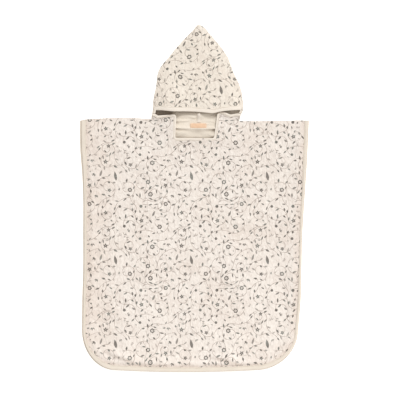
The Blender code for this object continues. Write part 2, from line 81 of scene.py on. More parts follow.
BACK_SIDES = ((0, 286.5, 287.0), (70, 286.0, 284.0), (135, 281.0, 280.5),
              (200, 278.5, 276.0), (290, 278.5, 270.5), (375, 278.5, 268.3),
              (460, 281.0, 266.0), (540, 281.5, 258.5))
FRONT_SIDES = ((0, 282.0, 284.5), (70, 281.5, 281.5), (135, 277.5, 278.0),
               (200, 275.5, 273.5), (290, 275.5, 268.2), (375, 275.5, 266.2),
               (460, 277.5, 264.0), (540, 278.5, 256.5))
SHOULDERS = ((-287, -4.5), (-268, -1.5), (-232, 1.2), (-190, 3.0), (-150, 2.2),
             (-108, 0.0), (112, -5.5), (150, -5.6), (200, -5.0), (250, -4.2),
             (287, -4.8))
NECK_SEAM = ((-108, 0.0), (-80, -14.0), (-45, -23.5), (5, -25.5), (52, -25.0),
             (86, -17.0), (112, -5.5))
FRONT_NECK = ((-104.6, 12.0, 0), (-98.0, 12.0, 8), (-91.5, 7.4, 7),
              (-66.0, 9.8, 20), (-57.5, 10.2, 8), (-44.5, 15.2, 8.3), (-47.5, -48.5, 4),
              (48.5, -48.5, 4), (55.0, -2.0, 80), (57.6, 18.2, 10.5),
              (76.0, 16.4, 14), (90.0, 10.0, 12), (103.0, 12.4, 20), (115.2, 12.0, 0))
# The flaps stand up off the hood: middle, half width, height, and the rises
# between which the lift grows.
LIFTS = ((-105, 10, 4.8, -4, 7), (113, 10, 4.8, -4, 7),
         (-74, 22, 6.0, -40, 12), (82, 20, 4.6, -40, 12),
         (-48, 13, 5.8, -50, -14), (54, 13, 4.8, -50, -14))
HOOD_SECTIONS = ((235, 7.4, 15.2, 6.0), (226, 0.0, 27.5, 7.0),
                 (211, -14.5, 40.0, 8.5), (188, -36.5, 60.0, 10.0),
                 (154, -64.5, 84.0, 11.0), (131, -83.8, 92.8, 12.0),
                 (113, -92.0, 99.5, 13.0), (84, -95.5, 113.5, 14.0),
                 (50, -102.5, 121.0, 15.5), (21, -104.5, 121.5, 16.5),
                 (0, -108.0, 112.5, 16.5), (-30, -108.0, 112.5, 16.5))
BRIM_EDGE = ((-103, 21.0), (-84, 20.3), (-70, 18.7), (-54, 17.2), (-26, 17.3),
             (0, 16.8), (26, 14.7), (44, 12.9), (54, 13.8), (64, 16.6),
             (90, 20.0), (121, 22.0))

# -------------------------------------------------- creases
# Soft ridges and troughs: middle, direction in degrees, half length, half
# width, height. The first rows are the part's own largest ridges.
Crease = namedtuple("Crease", "x rise angle length width height")
FRONT_CREASES = [Crease(*row) for row in (
    (-70, -28, 78, 48, 22, 3.0), (80, -30, 98, 44, 24, 3.4), (4, -51, 0, 56, 9, 2.2),
    (-236, -150, 84, 130, 26, 3.2), (-150, -95, 150, 80, 30, 2.2),
    (178, -110, 30, 95, 32, 2.4), (236, -290, 95, 120, 28, 2.6),
    (20, -240, 12, 120, 36, 1.8), (-120, -400, 70, 110, 34, 2.2),
    (110, -430, 118, 100, 34, 2.0), (-165, -585, 80, 40, 18, 3.0),
    (86, -592, 96, 36, 18, 3.2),
    # finer folds
    (-214, -228, 24, 38, 7, 3.2), (-226, -212, 26, 30, 6, -1.6),
    (-243, -105, 86, 74, 8, 2.4), (-228, -330, 72, 44, 10, 2.2),
    (-238, -424, 62, 42, 9, 2.4), (-196, -589, -20, 30, 7, 7.4),
    (-168, -599, -18, 28, 7, 7.0), (-136, -608, -14, 26, 6.5, 6.0),
    (-108, -609, 2, 24, 5, 4.4), (66, -597, -9, 28, 6, 8.0),
    (100, -603, -12, 28, 6, 8.0), (132, -608, 0, 24, 5.5, 5.4),
    (152, -592, 20, 34, 7, 3.4), (190, -575, 38, 30, 8, 2.2),
    (-60, -604, 3, 34, 7, 2.6), (0, -606, -2, 36, 7, 2.8),
    (-142, -46, 118, 26, 7, 2.0), (-150, -60, 100, 22, 6, -1.2),
    (120, -50, 64, 30, 8, 1.6), (206, -70, 82, 44, 9, 1.6),
    (-60, -150, 160, 46, 10, 1.2), (70, -170, 18, 52, 11, 1.2),
    (-10, -330, 96, 60, 13, 1.1), (160, -330, 74, 58, 12, 1.2),
    (-96, -500, 24, 50, 11, 1.3), (30, -540, 164, 54, 12, 1.2),
    (200, -470, 104, 46, 11, 1.3), (-190, -500, 118, 40, 10, 1.4),
    (-206, -290, 140, 30, 7, 1.2), (-30, -430, 40, 36, 8, 1.0),
    (100, -250, 128, 34, 8, 1.0), (-110, -270, 66, 32, 8, 1.0),
    (40, -110, 100, 26, 7, 0.9), (220, -380, 60, 30, 7, 1.2),
)]
HOOD_CREASES = [Crease(*row) for row in (
    (98, 48, -40, 14, 3.2, 2.4), (90, 42, -38, 12, 3.0, -1.4),
    (-74, 60, 76, 34, 9, 0.9), (-40, 120, 62, 36, 10, 0.9),
    (52, 140, 112, 34, 9, 0.8), (10, 90, 88, 42, 12, 0.9),
    (-84, 34, 20, 18, 5, 0.8), (30, 40, 170, 40, 9, 0.7),
    (10, 190, 80, 22, 7, 0.8), (70, 90, 130, 26, 8, 0.8),
)]
# The back panel's inside, where the notch shows it.
BACK_CREASES = [Crease(*row) for row in (
    (-30, -36, 6, 13, 2.6, 1.0), (28, -37, -8, 12, 2.6, 1.0),
    (-38, -42, 26, 8, 2.4, 0.9), (40, -41, -30, 9, 2.4, 1.0),
    (2, -43, 2, 14, 2.8, 0.8),
)]
# From left to right: how high the neck seam stands and how wide, then how high
# the fold below it is, how far down its top lies and how roundly it ends.
NECK_FOLDS = ((-62, 0.0, 2.8, 0.0, 10.0, 1.4), (-50, 6.0, 3.6, 5.2, 10.0, 1.4),
              (-38, 6.0, 3.4, 5.0, 10.0, 1.5), (-22, 4.4, 3.0, 3.2, 11.0, 2.0),
              (-8, 3.8, 6.0, 1.6, 16.0, 2.4), (4, 3.8, 7.6, 1.4, 19.0, 2.4),
              (20, 3.6, 6.6, 1.8, 18.0, 2.4), (30, 4.2, 3.6, 3.4, 15.0, 2.4),
              (42, 6.6, 3.8, 4.6, 14.0, 2.2), (51, 6.6, 4.4, 4.4, 14.0, 2.2),
              (64, 0.0, 2.8, 0.0, 14.0, 2.2))
FOLD_START, FOLD_END = 3.6, 22.8
# The cloth inside the hood's mouth swells up, and the centre back seam stands
# on it in a small fold: middle, length and width, height.
MOUTH = (-2.0, 11.0, 50.0, 9.6, 5.4)
PUCKER_RISE, PUCKER_LONG, PUCKER_WIDE, PUCKER_HIGH = 10.0, 9.0, 5.2, 4.0
# Inside the hood, where the notch shows it.
INSIDE_CREASES = [Crease(*row) for row in (
    (-28, -5.4, 3, 12, 2.5, 3.4), (-6, 2.8, -3, 8, 1.9, 2.6),
    (-44, -5.6, 0, 8, 3.8, 4.6), (36, -6, -6, 14, 2.6, 1.2),
    (40, 6, 6, 15, 2.8, 1.0), (-36, 4, 7, 12, 2.6, 1.0),
    (28, -13, 3, 14, 2.2, 0.9), (48, -10, 80, 8, 2.4, 1.6),
)]

# ------------------------------------------------------------ flat helpers


def curve(rows, column, at):
    """A smooth curve through a table's rows, read at many places."""
    table = np.array(sorted(rows), float)
    keys, values = table[:, 0], table[:, column]
    n = len(keys)
    lo, hi = np.maximum(np.arange(n) - 1, 0), np.minimum(np.arange(n) + 1, n - 1)
    slope = (values[hi] - values[lo]) / (keys[hi] - keys[lo])
    at = np.clip(np.asarray(at, float), keys[0], keys[-1])
    i = np.clip(np.searchsorted(keys, at, side="right") - 1, 0, n - 2)
    span = keys[i + 1] - keys[i]
    u = (at - keys[i]) / span
    a, b = slope[i] * span, slope[i + 1] * span
    return (values[i] * (2 * u**3 - 3 * u**2 + 1) + a * (u**3 - 2 * u**2 + u)
            + values[i + 1] * (3 * u**2 - 2 * u**3) + b * (u**3 - u**2))


def ease(u):
    u = np.clip(u, 0.0, 1.0)
    return u * u * (3 - 2 * u)


def shoulder(x):
    return curve(SHOULDERS, 1, x)


def neck_seam(x):
    return curve(NECK_SEAM, 1, x)


def resampled(chain, step):
    """The same line with even steps."""
    chain = np.asarray(chain, float)
    run = np.r_[0, np.cumsum(np.linalg.norm(np.diff(chain, axis=0), axis=1))]
    count = max(1, int(round(run[-1] / step)))
    at = np.linspace(0, run[-1], count + 1)
    return np.stack([np.interp(at, run, chain[:, k]) for k in range(chain.shape[1])], 1)


def lengths(chain):
    return np.r_[0, np.cumsum(np.linalg.norm(np.diff(chain, axis=0), axis=1))]


def away(points, chain):
    """Distance from many points to a line."""
    best = np.full(len(points), 1e9)
    for a, b in zip(chain[:-1], chain[1:]):
        run = b - a
        u = np.clip(((points - a) @ run) / max(run @ run, 1e-12), 0, 1)
        best = np.minimum(best, np.linalg.norm(points - a - u[:, None] * run, axis=1))
    return best


def within(points, loop):
    """Which points lie inside a closed loop."""
    hit = np.zeros(len(points), bool)
    for a, b in zip(loop, np.roll(loop, -1, axis=0)):
        if a[1] == b[1]:
            continue
        cross = (a[1] > points[:, 1]) != (b[1] > points[:, 1])
        x = a[0] + (b[0] - a[0]) * (points[:, 1] - a[1]) / (b[1] - a[1])
        hit ^= cross & (points[:, 0] < x)
    return hit


def inward(chain, side):
    run = np.gradient(chain, axis=0)
    arrows = np.stack([-run[:, 1], run[:, 0]], 1) * side
    return arrows / np.linalg.norm(arrows, axis=1)[:, None]


def sides_and_hem(sides, up, step):
    """Finished edge from the left shoulder down, round and up to the right."""
    start = CORNER_DROP
    drops = np.linspace(0, start, 160)
    left = np.stack([-curve(sides, 1, drops), -drops], 1)
    left[:, 1] += shoulder(left[0, 0]) * np.clip(1 - drops / 20, 0, 1)
    right = np.stack([curve(sides, 2, drops), -drops], 1)
    right[:, 1] += shoulder(right[0, 0]) * np.clip(1 - drops / 20, 0, 1)
    foot_left, foot_right = left[-1, 0] + CORNER_LEFT, right[-1, 0] - CORNER_RIGHT
    middle, half = (foot_left + foot_right) / 2, (foot_right - foot_left) / 2

    def hem(x):
        return -(BODY_LENGTH - up - HEM_BOW * np.minimum(1, ((x - middle) / half) ** 2))

    turn = np.linspace(0, math.pi / 2, 60)[1:]
    deep = -start - hem(foot_left)
    corner_left = np.stack([foot_left - CORNER_LEFT * np.cos(turn),
                            -start - deep * np.sin(turn)], 1)
    xs = np.linspace(foot_left, foot_right, 140)[1:-1]
    deep = -start - hem(foot_right)
    corner_right = np.stack([foot_right + CORNER_RIGHT * np.cos(turn),
                             -start - deep * np.sin(turn)], 1)[::-1]
    return resampled(np.concatenate(
        [left, corner_left, np.stack([xs, hem(xs)], 1), corner_right, right[::-1]]), step)


def rounded(corners, step):
    """A line through corners, each turned with its own radius."""
    points = [np.array(c[:2], float) for c in corners]
    chain = [points[0]]
    for k in range(1, len(points) - 1):
        into, out = points[k] - points[k - 1], points[k + 1] - points[k]
        into, out = into / np.linalg.norm(into), out / np.linalg.norm(out)
        turn = math.atan2(into[0] * out[1] - into[1] * out[0], into @ out)
        radius = corners[k][2]
        reach = radius * math.tan(abs(turn) / 2)
        first = points[k] - into * reach
        chain.append(first)
        side = np.array([-into[1], into[0]]) * math.copysign(1, turn)
        centre = first + side * radius
        arm = first - centre
        parts = max(1, math.ceil(abs(turn) / math.radians(7)))
        for j in range(1, parts + 1):
            a = turn * j / parts
            chain.append(centre + np.array([arm[0] * math.cos(a) - arm[1] * math.sin(a),
                                            arm[0] * math.sin(a) + arm[1] * math.cos(a)]))
    chain.append(points[-1])
    return resampled(np.array(chain), step)


def creased(points, creases):
    """Height that a table of creases adds at each point."""
    lift = np.zeros(len(points))
    for c in creases:
        a = math.radians(c.angle)
        d = points - np.array([c.x, c.rise])
        along = (d[:, 0] * math.cos(a) + d[:, 1] * math.sin(a)) / c.length
        across = (-d[:, 0] * math.sin(a) + d[:, 1] * math.cos(a)) / c.width
        # a fold isn't straight: it bows a little, by its own size
        across = across + 0.35 * along * along * math.copysign(1, c.height * c.x + 1e-6)
        lift += c.height * np.exp(-along * along - across * across)
    return lift


def rumple(points, size, seed):
    """Even small waves of a given size, from -1 to 1."""
    return np.array([noise.noise(Vector((x / size, y / size, seed)))
                     for x, y in points]) * 1.6


# ------------------------------------------------------------- the print
# A plain sprig print: curling stems with leaves, ring, star and dot flowers
# and small sprays, worked out afresh on a repeat that meets itself all round.

REPEAT_W, REPEAT_H = 190.0, 210.0
FLOWER_KINDS = ("ring", "dot", "star", "ring", "star", "dot", "ring", "star", "dot",
                "ring", "star", "star", "ring", "dot", "star", "ring", "star")
FLOWER_RADIUS = {"ring": 6.1, "star": 5.4, "dot": 3.7}
KIND_CODE = {"ring": 1.0, "star": 2.0, "dot": 3.0}
# How the stem leaves each kind of flower: (radius, sweep) arcs; the sign turns.
STEMS = {
    "ring": ((12, 120), (17, 170), (25, 95), (38, -70)),
    "star": ((11, 210), (19, 150), (30, -80)),
    "dot": ((24, 75), (17, -130), (34, 50)),
}
# Sprays that fill the rest: kind, room they need, how many at most.
SPRAYS = (("twig", 12.5, 4), ("tuft", 10.0, 12), ("pair", 8.8, 13), ("leaf", 7.4, 12),
          ("mark", 5.4, 8))
LONE_LEAVES = ((24, 7.4, 0.95), (18, 5.2, 0.8), (16, 5.0, 0.9))
SHADES = (0.52, 0.70, 0.86, 0.95, 1.0, 1.0)     # how strongly a motif is printed


class Taken:
    """Circles already covered, on a repeat that meets itself at all sides."""

    def __init__(self):
        self.rows = np.zeros((4000, 3))
        self.count = 0

    def add(self, circles):
        for c in circles:
            self.rows[self.count] = c
            self.count += 1

    def room(self, points):
        if not self.count:
            return np.full(len(points), 99.0)
        rows = self.rows[:self.count]
        points = np.asarray(points, float)
        dx = (points[:, None, 0] - rows[None, :, 0] + REPEAT_W / 2) % REPEAT_W - REPEAT_W / 2
        dy = (points[:, None, 1] - rows[None, :, 1] + REPEAT_H / 2) % REPEAT_H - REPEAT_H / 2
        return (np.hypot(dx, dy) - rows[None, :, 2]).min(1)


def trace(x, y, heading, rows, side):
    """Arcs one after another, and points along them (x, y, heading, distance)."""
    arcs, points, gone = [], [], 0.0
    for radius, sweep in rows:
        turn = math.radians(sweep) * side
        way = math.copysign(1, turn)
        cx, cy = x - way * radius * math.sin(heading), y + way * radius * math.cos(heading)
        start = math.atan2(y - cy, x - cx)
        arcs.append((cx, cy, radius, start, turn))
        steps = max(2, int(abs(turn) * radius / 3))
        for j in range(1, steps + 1):
            a = start + turn * j / steps
            points.append((cx + radius * math.cos(a), cy + radius * math.sin(a),
                           heading + turn * j / steps, gone + abs(turn) * radius * j / steps))
        gone += abs(turn) * radius
        x, y, heading = points[-1][0], points[-1][1], heading + turn
    return arcs, points


def grow(seed):
    """Arcs, leaves and flowers of one repeat."""
    rng = random.Random(seed)
    arcs, leaves, flowers = [], [], []
    ink, stems = Taken(), Taken()

    def somewhere(tries):
        points = [(rng.uniform(0, REPEAT_W), rng.uniform(0, REPEAT_H)) for _ in range(tries)]
        return points[int(ink.room(points).argmax())]

    def leaf(x, y, a, length, width, clear, shade):
        circles = [(x + t * length * math.cos(a), y + t * length * math.sin(a), width / 2)
                   for t in (-0.36, 0.0, 0.36)]
        if (ink.room(circles) - width / 2).min() < clear:
            return False
        ink.add(circles)
        leaves.append((x, y, a, length, width, shade))
        return True

    for kind in FLOWER_KINDS:
        x, y = somewhere(50)
        r = FLOWER_RADIUS[kind] * rng.uniform(0.9, 1.06)
        ink.add([(x, y, r)])
        flowers.append((x, y, r, kind, rng.uniform(0, math.tau)))
    for length, width, shade in LONE_LEAVES:
        x, y = somewhere(80)
        leaf(x, y, math.radians(rng.uniform(60, 115)), length, width, 0, shade)

    for x, y, r, kind, _ in list(flowers):
        best = None
        for _ in range(36):
            h, side = rng.uniform(0, math.tau), rng.choice((-1, 1))
            scale = rng.uniform(0.85, 1.25)
            rows = [(radius * scale, sweep * rng.uniform(0.85, 1.15))
                    for radius, sweep in STEMS[kind]]
            out, points = trace(x + (r + 0.2) * math.cos(h), y + (r + 0.2) * math.sin(h),
                                h + side * 0.5, rows, side)
            gap = ink.room([p[:2] for p in points[2:]])
            near = stems.room([p[:2] for p in points])
            cost = (np.where(gap < 1, 3.0, np.where(gap < 4, 1.0, 0.0)).mean()
                    + np.where(near < 2.5, 2.0, np.where(near < 6, 0.7, 0.0)).mean())
            if best is None or cost < best[0]:
                best = (cost, out, points)
        _, out, points = best
        arcs.extend(out)
        stems.add([(p[0], p[1], 0.0) for p in points])
        way, last, spell = rng.choice((-1, 1)), 2.0, 12.0
        for px, py, h, g in points:
            if g - last < spell:
                continue
            spell = rng.uniform(9.0, 24.0)
            tilt = h + way * math.radians(rng.uniform(30, 62))
            length, width = rng.uniform(7.0, 12.5), rng.uniform(3.0, 4.6)
            reach = 0.4 + length / 2
            if leaf(px + reach * math.cos(tilt), py + reach * math.sin(tilt), tilt,
                    length, width, 1.2, rng.choice(SHADES)):
                last = g
                if rng.random() < 0.5:
                    tilt = h - way * math.radians(rng.uniform(30, 62))
                    leaf(px + reach * math.cos(tilt), py + reach * math.sin(tilt), tilt,
                         length * 0.8, width * 0.9, 0.4, rng.choice(SHADES))
            way = -way
        px, py, h, _ = points[-1]
        leaf(px + 4.8 * math.cos(h), py + 4.8 * math.sin(h), h, 9.8, 3.5, 1.2, 0.95)

    for kind, need, most in SPRAYS:
        made = 0
        for _ in range(420):
            x, y = rng.uniform(0, REPEAT_W), rng.uniform(0, REPEAT_H)
            if made >= most or ink.room([(x, y)])[0] < need:
                continue
            made += 1
            h, shade = rng.uniform(0, math.tau), rng.choice(SHADES)
            if kind == "twig":         # leaflets on both sides of a short stem
                out, points = trace(x - 9 * math.cos(h), y - 9 * math.sin(h), h - 0.2,
                                    ((45, 25),), 1)
                arcs.extend(out)
                for j in range(5):
                    k = min(len(points) - 1, int((j + 0.6) * len(points) / 5))
                    px, py, ph, _ = points[k]
                    tilt = ph + (0 if j == 4 else (1, -1)[j % 2] * math.radians(46))
                    leaf(px + 3.9 * math.cos(tilt), py + 3.9 * math.sin(tilt), tilt,
                         rng.uniform(5.6, 7.4), 2.8, 0.1, shade)
            elif kind == "tuft":       # short strokes fanned out from one place
                strokes = rng.choice((3, 3, 4))
                x, y = x - 3.5 * math.cos(h), y - 3.5 * math.sin(h)
                for j in range(strokes):
                    tilt = h + (j - (strokes - 1) / 2) * math.radians(37) + rng.uniform(-.14, .14)
                    length = rng.uniform(5.4, 8.2)
                    leaf(x + (1.3 + length / 2) * math.cos(tilt),
                         y + (1.3 + length / 2) * math.sin(tilt), tilt,
                         length, rng.uniform(2.5, 3.1), -2.4, shade)
            elif kind == "pair":
                for j in (-1, 1):
                    tilt = h + j * math.radians(rng.uniform(24, 54))
                    length = rng.uniform(6.0, 9.6)
                    leaf(x + (0.8 + length / 2) * math.cos(tilt),
                         y + (0.8 + length / 2) * math.sin(tilt), tilt,
                         length, rng.uniform(3.0, 4.0), -0.4, shade)
            elif kind == "mark":       # small faint touches in between
                leaf(x, y, h, rng.uniform(3.6, 5.4), rng.uniform(2.1, 2.8), 0.2,
                     rng.choice(SHADES[1:4]))
            elif rng.random() < 0.35:
                r = rng.uniform(1.9, 2.8)
                ink.add([(x, y, r)])
                flowers.append((x, y, r, "dot", 0.0))
            else:
                leaf(x, y, h, rng.uniform(6.0, 10.0), rng.uniform(3.2, 4.3), 0.3, shade)
    return arcs, leaves, flowers


ARCS, LEAVES, FLOWERS = grow(11)
LEAF_PLACES, FLOWER_PLACES, STEM_PLACES = 4, 2, 3


def folded_in(p):
    """The same place in the first repeat."""
    return np.stack([p[:, 0] % REPEAT_W, p[:, 1] % REPEAT_H], 1)


def shortest(d):
    """Offsets to the nearest repeat of something."""
    d = d.copy()
    d[..., 0] = (d[..., 0] + REPEAT_W / 2) % REPEAT_W - REPEAT_W / 2
    d[..., 1] = (d[..., 1] + REPEAT_H / 2) % REPEAT_H - REPEAT_H / 2
    return d


def lay_print(mesh, cloth_at):
    """Gives each face its nearest stems, leaves and flowers.

    cloth_at holds each corner's place on the flat cloth in millimetres. Every
    corner of a face is measured from the same few motifs, so that the shader
    only has to draw those."""
    counts = np.empty(len(mesh.polygons), int)
    mesh.polygons.foreach_get("loop_total", counts)
    first = np.empty(len(mesh.polygons), int)
    mesh.polygons.foreach_get("loop_start", first)
    face_of = np.repeat(np.arange(len(counts)), counts)
    centre = np.add.reduceat(cloth_at, first) / counts[:, None]
    base = folded_in(centre)
    corner_from_centre = cloth_at - centre[face_of]

    def keep(name, vectors):
        made = mesh.attributes.new(name, "FLOAT_VECTOR", "CORNER")
        made.data.foreach_set("vector", vectors.astype(np.float32).ravel())

    def pick(distance, places):
        """The few nearest, face by face."""
        order = np.argpartition(distance, places, axis=1)[:, :places]
        rank = np.take_along_axis(distance, order, 1).argsort(1)
        return np.take_along_axis(order, rank, 1)

    def in_parts(total, work, size=20000):
        return np.concatenate([work(slice(k, min(k + size, total)))
                               for k in range(0, total, size)])

    leaf = np.array([l[:6] for l in LEAVES])
    ca, sa = np.cos(leaf[:, 2]), np.sin(leaf[:, 2])

    def leaf_distance(part):
        d = shortest(base[part, None, :] - leaf[None, :, :2])
        u = (d[..., 0] * ca + d[..., 1] * sa)
        v = (-d[..., 0] * sa + d[..., 1] * ca)
        u = u - np.clip(u, -leaf[:, 3] / 2, leaf[:, 3] / 2)
        return pick(np.hypot(u, v) - leaf[:, 4] / 2, LEAF_PLACES)

    chosen = in_parts(len(base), leaf_distance)
    for k in range(LEAF_PLACES):
        n = chosen[:, k]
        d = shortest(base - leaf[n, :2])[face_of] + corner_from_centre
        n = n[face_of]
        u = (d[:, 0] * ca[n] + d[:, 1] * sa[n]) / (leaf[n, 3] / 2)
        v = (-d[:, 0] * sa[n] + d[:, 1] * ca[n]) / (leaf[n, 4] / 2)
        keep(f"leaf{k}", np.stack([u, v, leaf[n, 5]], 1))

    flower = np.array([(f[0], f[1], f[2], KIND_CODE[f[3]], f[4]) for f in FLOWERS])
    ca, sa = np.cos(flower[:, 4]), np.sin(flower[:, 4])

    def flower_distance(part):
        d = shortest(base[part, None, :] - flower[None, :, :2])
        return pick(np.hypot(d[..., 0], d[..., 1]) - flower[:, 2], FLOWER_PLACES)

    chosen = in_parts(len(base), flower_distance)
    for k in range(FLOWER_PLACES):
        n = chosen[:, k]
        d = shortest(base - flower[n, :2])[face_of] + corner_from_centre
        n = n[face_of]
        u = (d[:, 0] * ca[n] + d[:, 1] * sa[n]) / flower[n, 2]
        v = (-d[:, 0] * sa[n] + d[:, 1] * ca[n]) / flower[n, 2]
        keep(f"flower{k}", np.stack([u, v, flower[n, 3]], 1))

    arc = np.array(ARCS)

    def arc_distance(part):
        best = []
        for cx, cy, radius, start, turn in arc:
            d = shortest(base[part] - (cx, cy))
            off = np.abs(np.hypot(d[:, 0], d[:, 1]) - radius)
            angle = np.arctan2(d[:, 1], d[:, 0])
            rel = ((angle - start) * np.sign(turn)) % math.tau
            slack = 1.2 / radius
            out = (rel > abs(turn) + slack) & (rel < math.tau - slack)
            best.append(np.where(out, 60.0, off))
        best.extend([np.full(len(base[part]), 50.0)] * STEM_PLACES)
        return pick(np.stack(best, 1), STEM_PLACES)

    arc = np.concatenate([arc, np.zeros((STEM_PLACES, 5))])
    arc[-STEM_PLACES:, 2] = 500.0       # nothing near: far from any line
    real = len(arc) - STEM_PLACES
    arc_all, arc = arc, arc[:real]
    chosen = in_parts(len(base), arc_distance)
    for k in range(STEM_PLACES):
        n = chosen[:, k]
        d = shortest(base - arc_all[n, :2])[face_of] + corner_from_centre
        keep(f"stem{k}", np.stack([d[:, 0], d[:, 1], arc_all[n[face_of], 2]], 1))


# -------------------------------------------------------------- mesh helpers


def new_object(name, verts, faces, materials, face_material=None):
    """A mesh from points (x, rise, z) in millimetres."""
    verts = np.asarray(verts, float)
    world = np.stack([verts[:, 0], verts[:, 1] + SHOULDER_Y, verts[:, 2]], 1) * MM
    mesh = bpy.data.meshes.new(name)
    mesh.from_pydata([tuple(p) for p in world], [], [list(map(int, f)) for f in faces])
    mesh.validate(clean_customdata=False)
    for m in materials:
        mesh.materials.append(m)
    if face_material is not None:
        mesh.polygons.foreach_set("material_index", np.asarray(face_material, np.int32))
    mesh.shade_smooth()
    mesh.set_sharp_from_angle(angle=math.radians(55))
    obj = bpy.data.objects.new(name, mesh)
    bpy.context.scene.collection.objects.link(obj)
    return obj


def corner_verts(mesh):
    ids = np.empty(len(mesh.loops), np.int32)
    mesh.loops.foreach_get("vertex_index", ids)
    return ids


def set_map(mesh, name, values):
    layer = mesh.uv_layers.new(name=name)
    layer.data.foreach_set("uv", np.asarray(values, np.float32).ravel())
    return layer


# ---------------------------------------------------------------- materials


class Tree:
    """Short calls for building one material's nodes."""

    def __init__(self, name, roughness, sheen, sheen_rough=0.5):
        self.mat = bpy.data.materials.new(name)
        self.mat.use_nodes = True
        self.nodes, self.links = self.mat.node_tree.nodes, self.mat.node_tree.links
        self.nodes.clear()
        self.out = self.nodes.new("ShaderNodeOutputMaterial")
        self.shader = self.nodes.new("ShaderNodeBsdfPrincipled")
        self.links.new(self.shader.outputs[0], self.out.inputs["Surface"])
        self.shader.inputs["Roughness"].default_value = roughness
        self.shader.inputs["Sheen Weight"].default_value = sheen
        self.shader.inputs["Sheen Roughness"].default_value = sheen_rough
        self.shader.inputs["Specular IOR Level"].default_value = 0.25

    def put(self, socket, value):
        if isinstance(value, bpy.types.NodeSocket):
            self.links.new(value, socket)
        else:
            socket.default_value = value

    def math(self, op, a, b=None, c=None, clamp=False):
        n = self.nodes.new("ShaderNodeMath")
        n.operation, n.use_clamp = op, clamp
        for socket, value in zip(n.inputs, (a, b, c)):
            if value is not None:
                self.put(socket, value)
        return n.outputs[0]

    def split(self, vector):
        n = self.nodes.new("ShaderNodeSeparateXYZ")
        self.put(n.inputs[0], vector)
        return n.outputs

    def attribute(self, name):
        n = self.nodes.new("ShaderNodeAttribute")
        n.attribute_type, n.attribute_name = "GEOMETRY", name
        return n.outputs["Vector"]

    def uv(self, name):
        n = self.nodes.new("ShaderNodeUVMap")
        n.uv_map = name
        return n.outputs[0]

    def object_place(self):
        return self.nodes.new("ShaderNodeTexCoord").outputs["Object"]

    def scaled(self, vector, scale, rotation=0.0):
        n = self.nodes.new("ShaderNodeMapping")
        self.put(n.inputs["Vector"], vector)
        n.inputs["Scale"].default_value = scale
        n.inputs["Rotation"].default_value = (0, 0, rotation)
        return n.outputs[0]

    def noise(self, vector, scale, detail=2.0, rough=0.5, distortion=0.0):
        n = self.nodes.new("ShaderNodeTexNoise")
        self.put(n.inputs["Vector"], vector)
        n.inputs["Scale"].default_value = scale
        n.inputs["Detail"].default_value = detail
        n.inputs["Roughness"].default_value = rough
        n.inputs["Distortion"].default_value = distortion
        return n.outputs["Fac"]

    def steps(self, value, lo, hi, to_lo=0.0, to_hi=1.0, smooth=True):
        n = self.nodes.new("ShaderNodeMapRange")
        n.interpolation_type = "SMOOTHSTEP" if smooth else "LINEAR"
        for socket, v in zip(n.inputs, (value, lo, hi, to_lo, to_hi)):
            self.put(socket, v)
        return n.outputs[0]

    def mix(self, fac, a, b, blend="MIX"):
        n = self.nodes.new("ShaderNodeMix")
        n.data_type, n.blend_type = "RGBA", blend
        self.put(n.inputs["Factor"], fac)
        self.put(n.inputs["A"], a if isinstance(a, bpy.types.NodeSocket) else (*a, 1.0))
        self.put(n.inputs["B"], b if isinstance(b, bpy.types.NodeSocket) else (*b, 1.0))
        return n.outputs["Result"]

    def bump(self, height, distance, strength=1.0, normal=None):
        n = self.nodes.new("ShaderNodeBump")
        n.inputs["Strength"].default_value = strength
        n.inputs["Distance"].default_value = distance
        self.put(n.inputs["Height"], height)
        if normal is not None:
            self.put(n.inputs["Normal"], normal)
        return n.outputs[0]

    def weave(self, vector, pitch):
        """Threads over and under, from 0 to 1, at a pitch in metres."""
        x, y, _ = self.split(vector)
        wobble = self.noise(vector, 260.0, 1.0)
        k = math.pi / pitch
        a = self.math("SINE", self.math("MULTIPLY_ADD", x, k, self.math("MULTIPLY", wobble, 2.2)))
        b = self.math("SINE", self.math("MULTIPLY_ADD", y, k, self.math("MULTIPLY", wobble, 2.2)))
        return self.math("MULTIPLY_ADD", self.math("MULTIPLY", a, b), 0.5, 0.5)

    def finish(self, colour, normal=None, roughness=None):
        self.put(self.shader.inputs["Base Color"], colour)
        if normal is not None:
            self.put(self.shader.inputs["Normal"], normal)
        if roughness is not None:
            self.put(self.shader.inputs["Roughness"], roughness)
        return self.mat


CREAM = (0.812, 0.744, 0.694)          # body cloth: ground, pinker and paler patches, and painted crinkle highlight and shade specks
CREAM_PINK = (0.772, 0.690, 0.632)
CREAM_PALE = (0.900, 0.845, 0.790)
CREAM_SHADED = (0.732, 0.630, 0.562)     # painted shade: beside the tapes, to the left and under two hem folds
HOOD_CREAM = (0.808, 0.736, 0.656)     # the hood's cloth is a little yellower
HOOD_PINK = (0.776, 0.694, 0.616)
HOOD_PALE = (0.885, 0.822, 0.742)
HOOD_SHADED = (0.752, 0.662, 0.580)
TOWEL = (0.860, 0.790, 0.695)
TOWEL_DEEP = (0.815, 0.738, 0.640)
TOWEL_ROOT = (0.600, 0.510, 0.420)
BINDING = (0.756, 0.683, 0.600)
# painted shade: a darker copy of the edge tape, for the back panel's tape that peeks out beside the
# front's
BINDING_SHADED = (0.705, 0.630, 0.548)
BINDING_HOOD = (0.830, 0.758, 0.680)
THREAD = (0.830, 0.750, 0.655)
INK = (0.066, 0.059, 0.050)
INK_GREEN = (0.112, 0.124, 0.110)
INK_THIN = (0.240, 0.178, 0.150)       # where the print is weak
STEM = (0.305, 0.240, 0.204)
LABEL = (0.755, 0.508, 0.345)


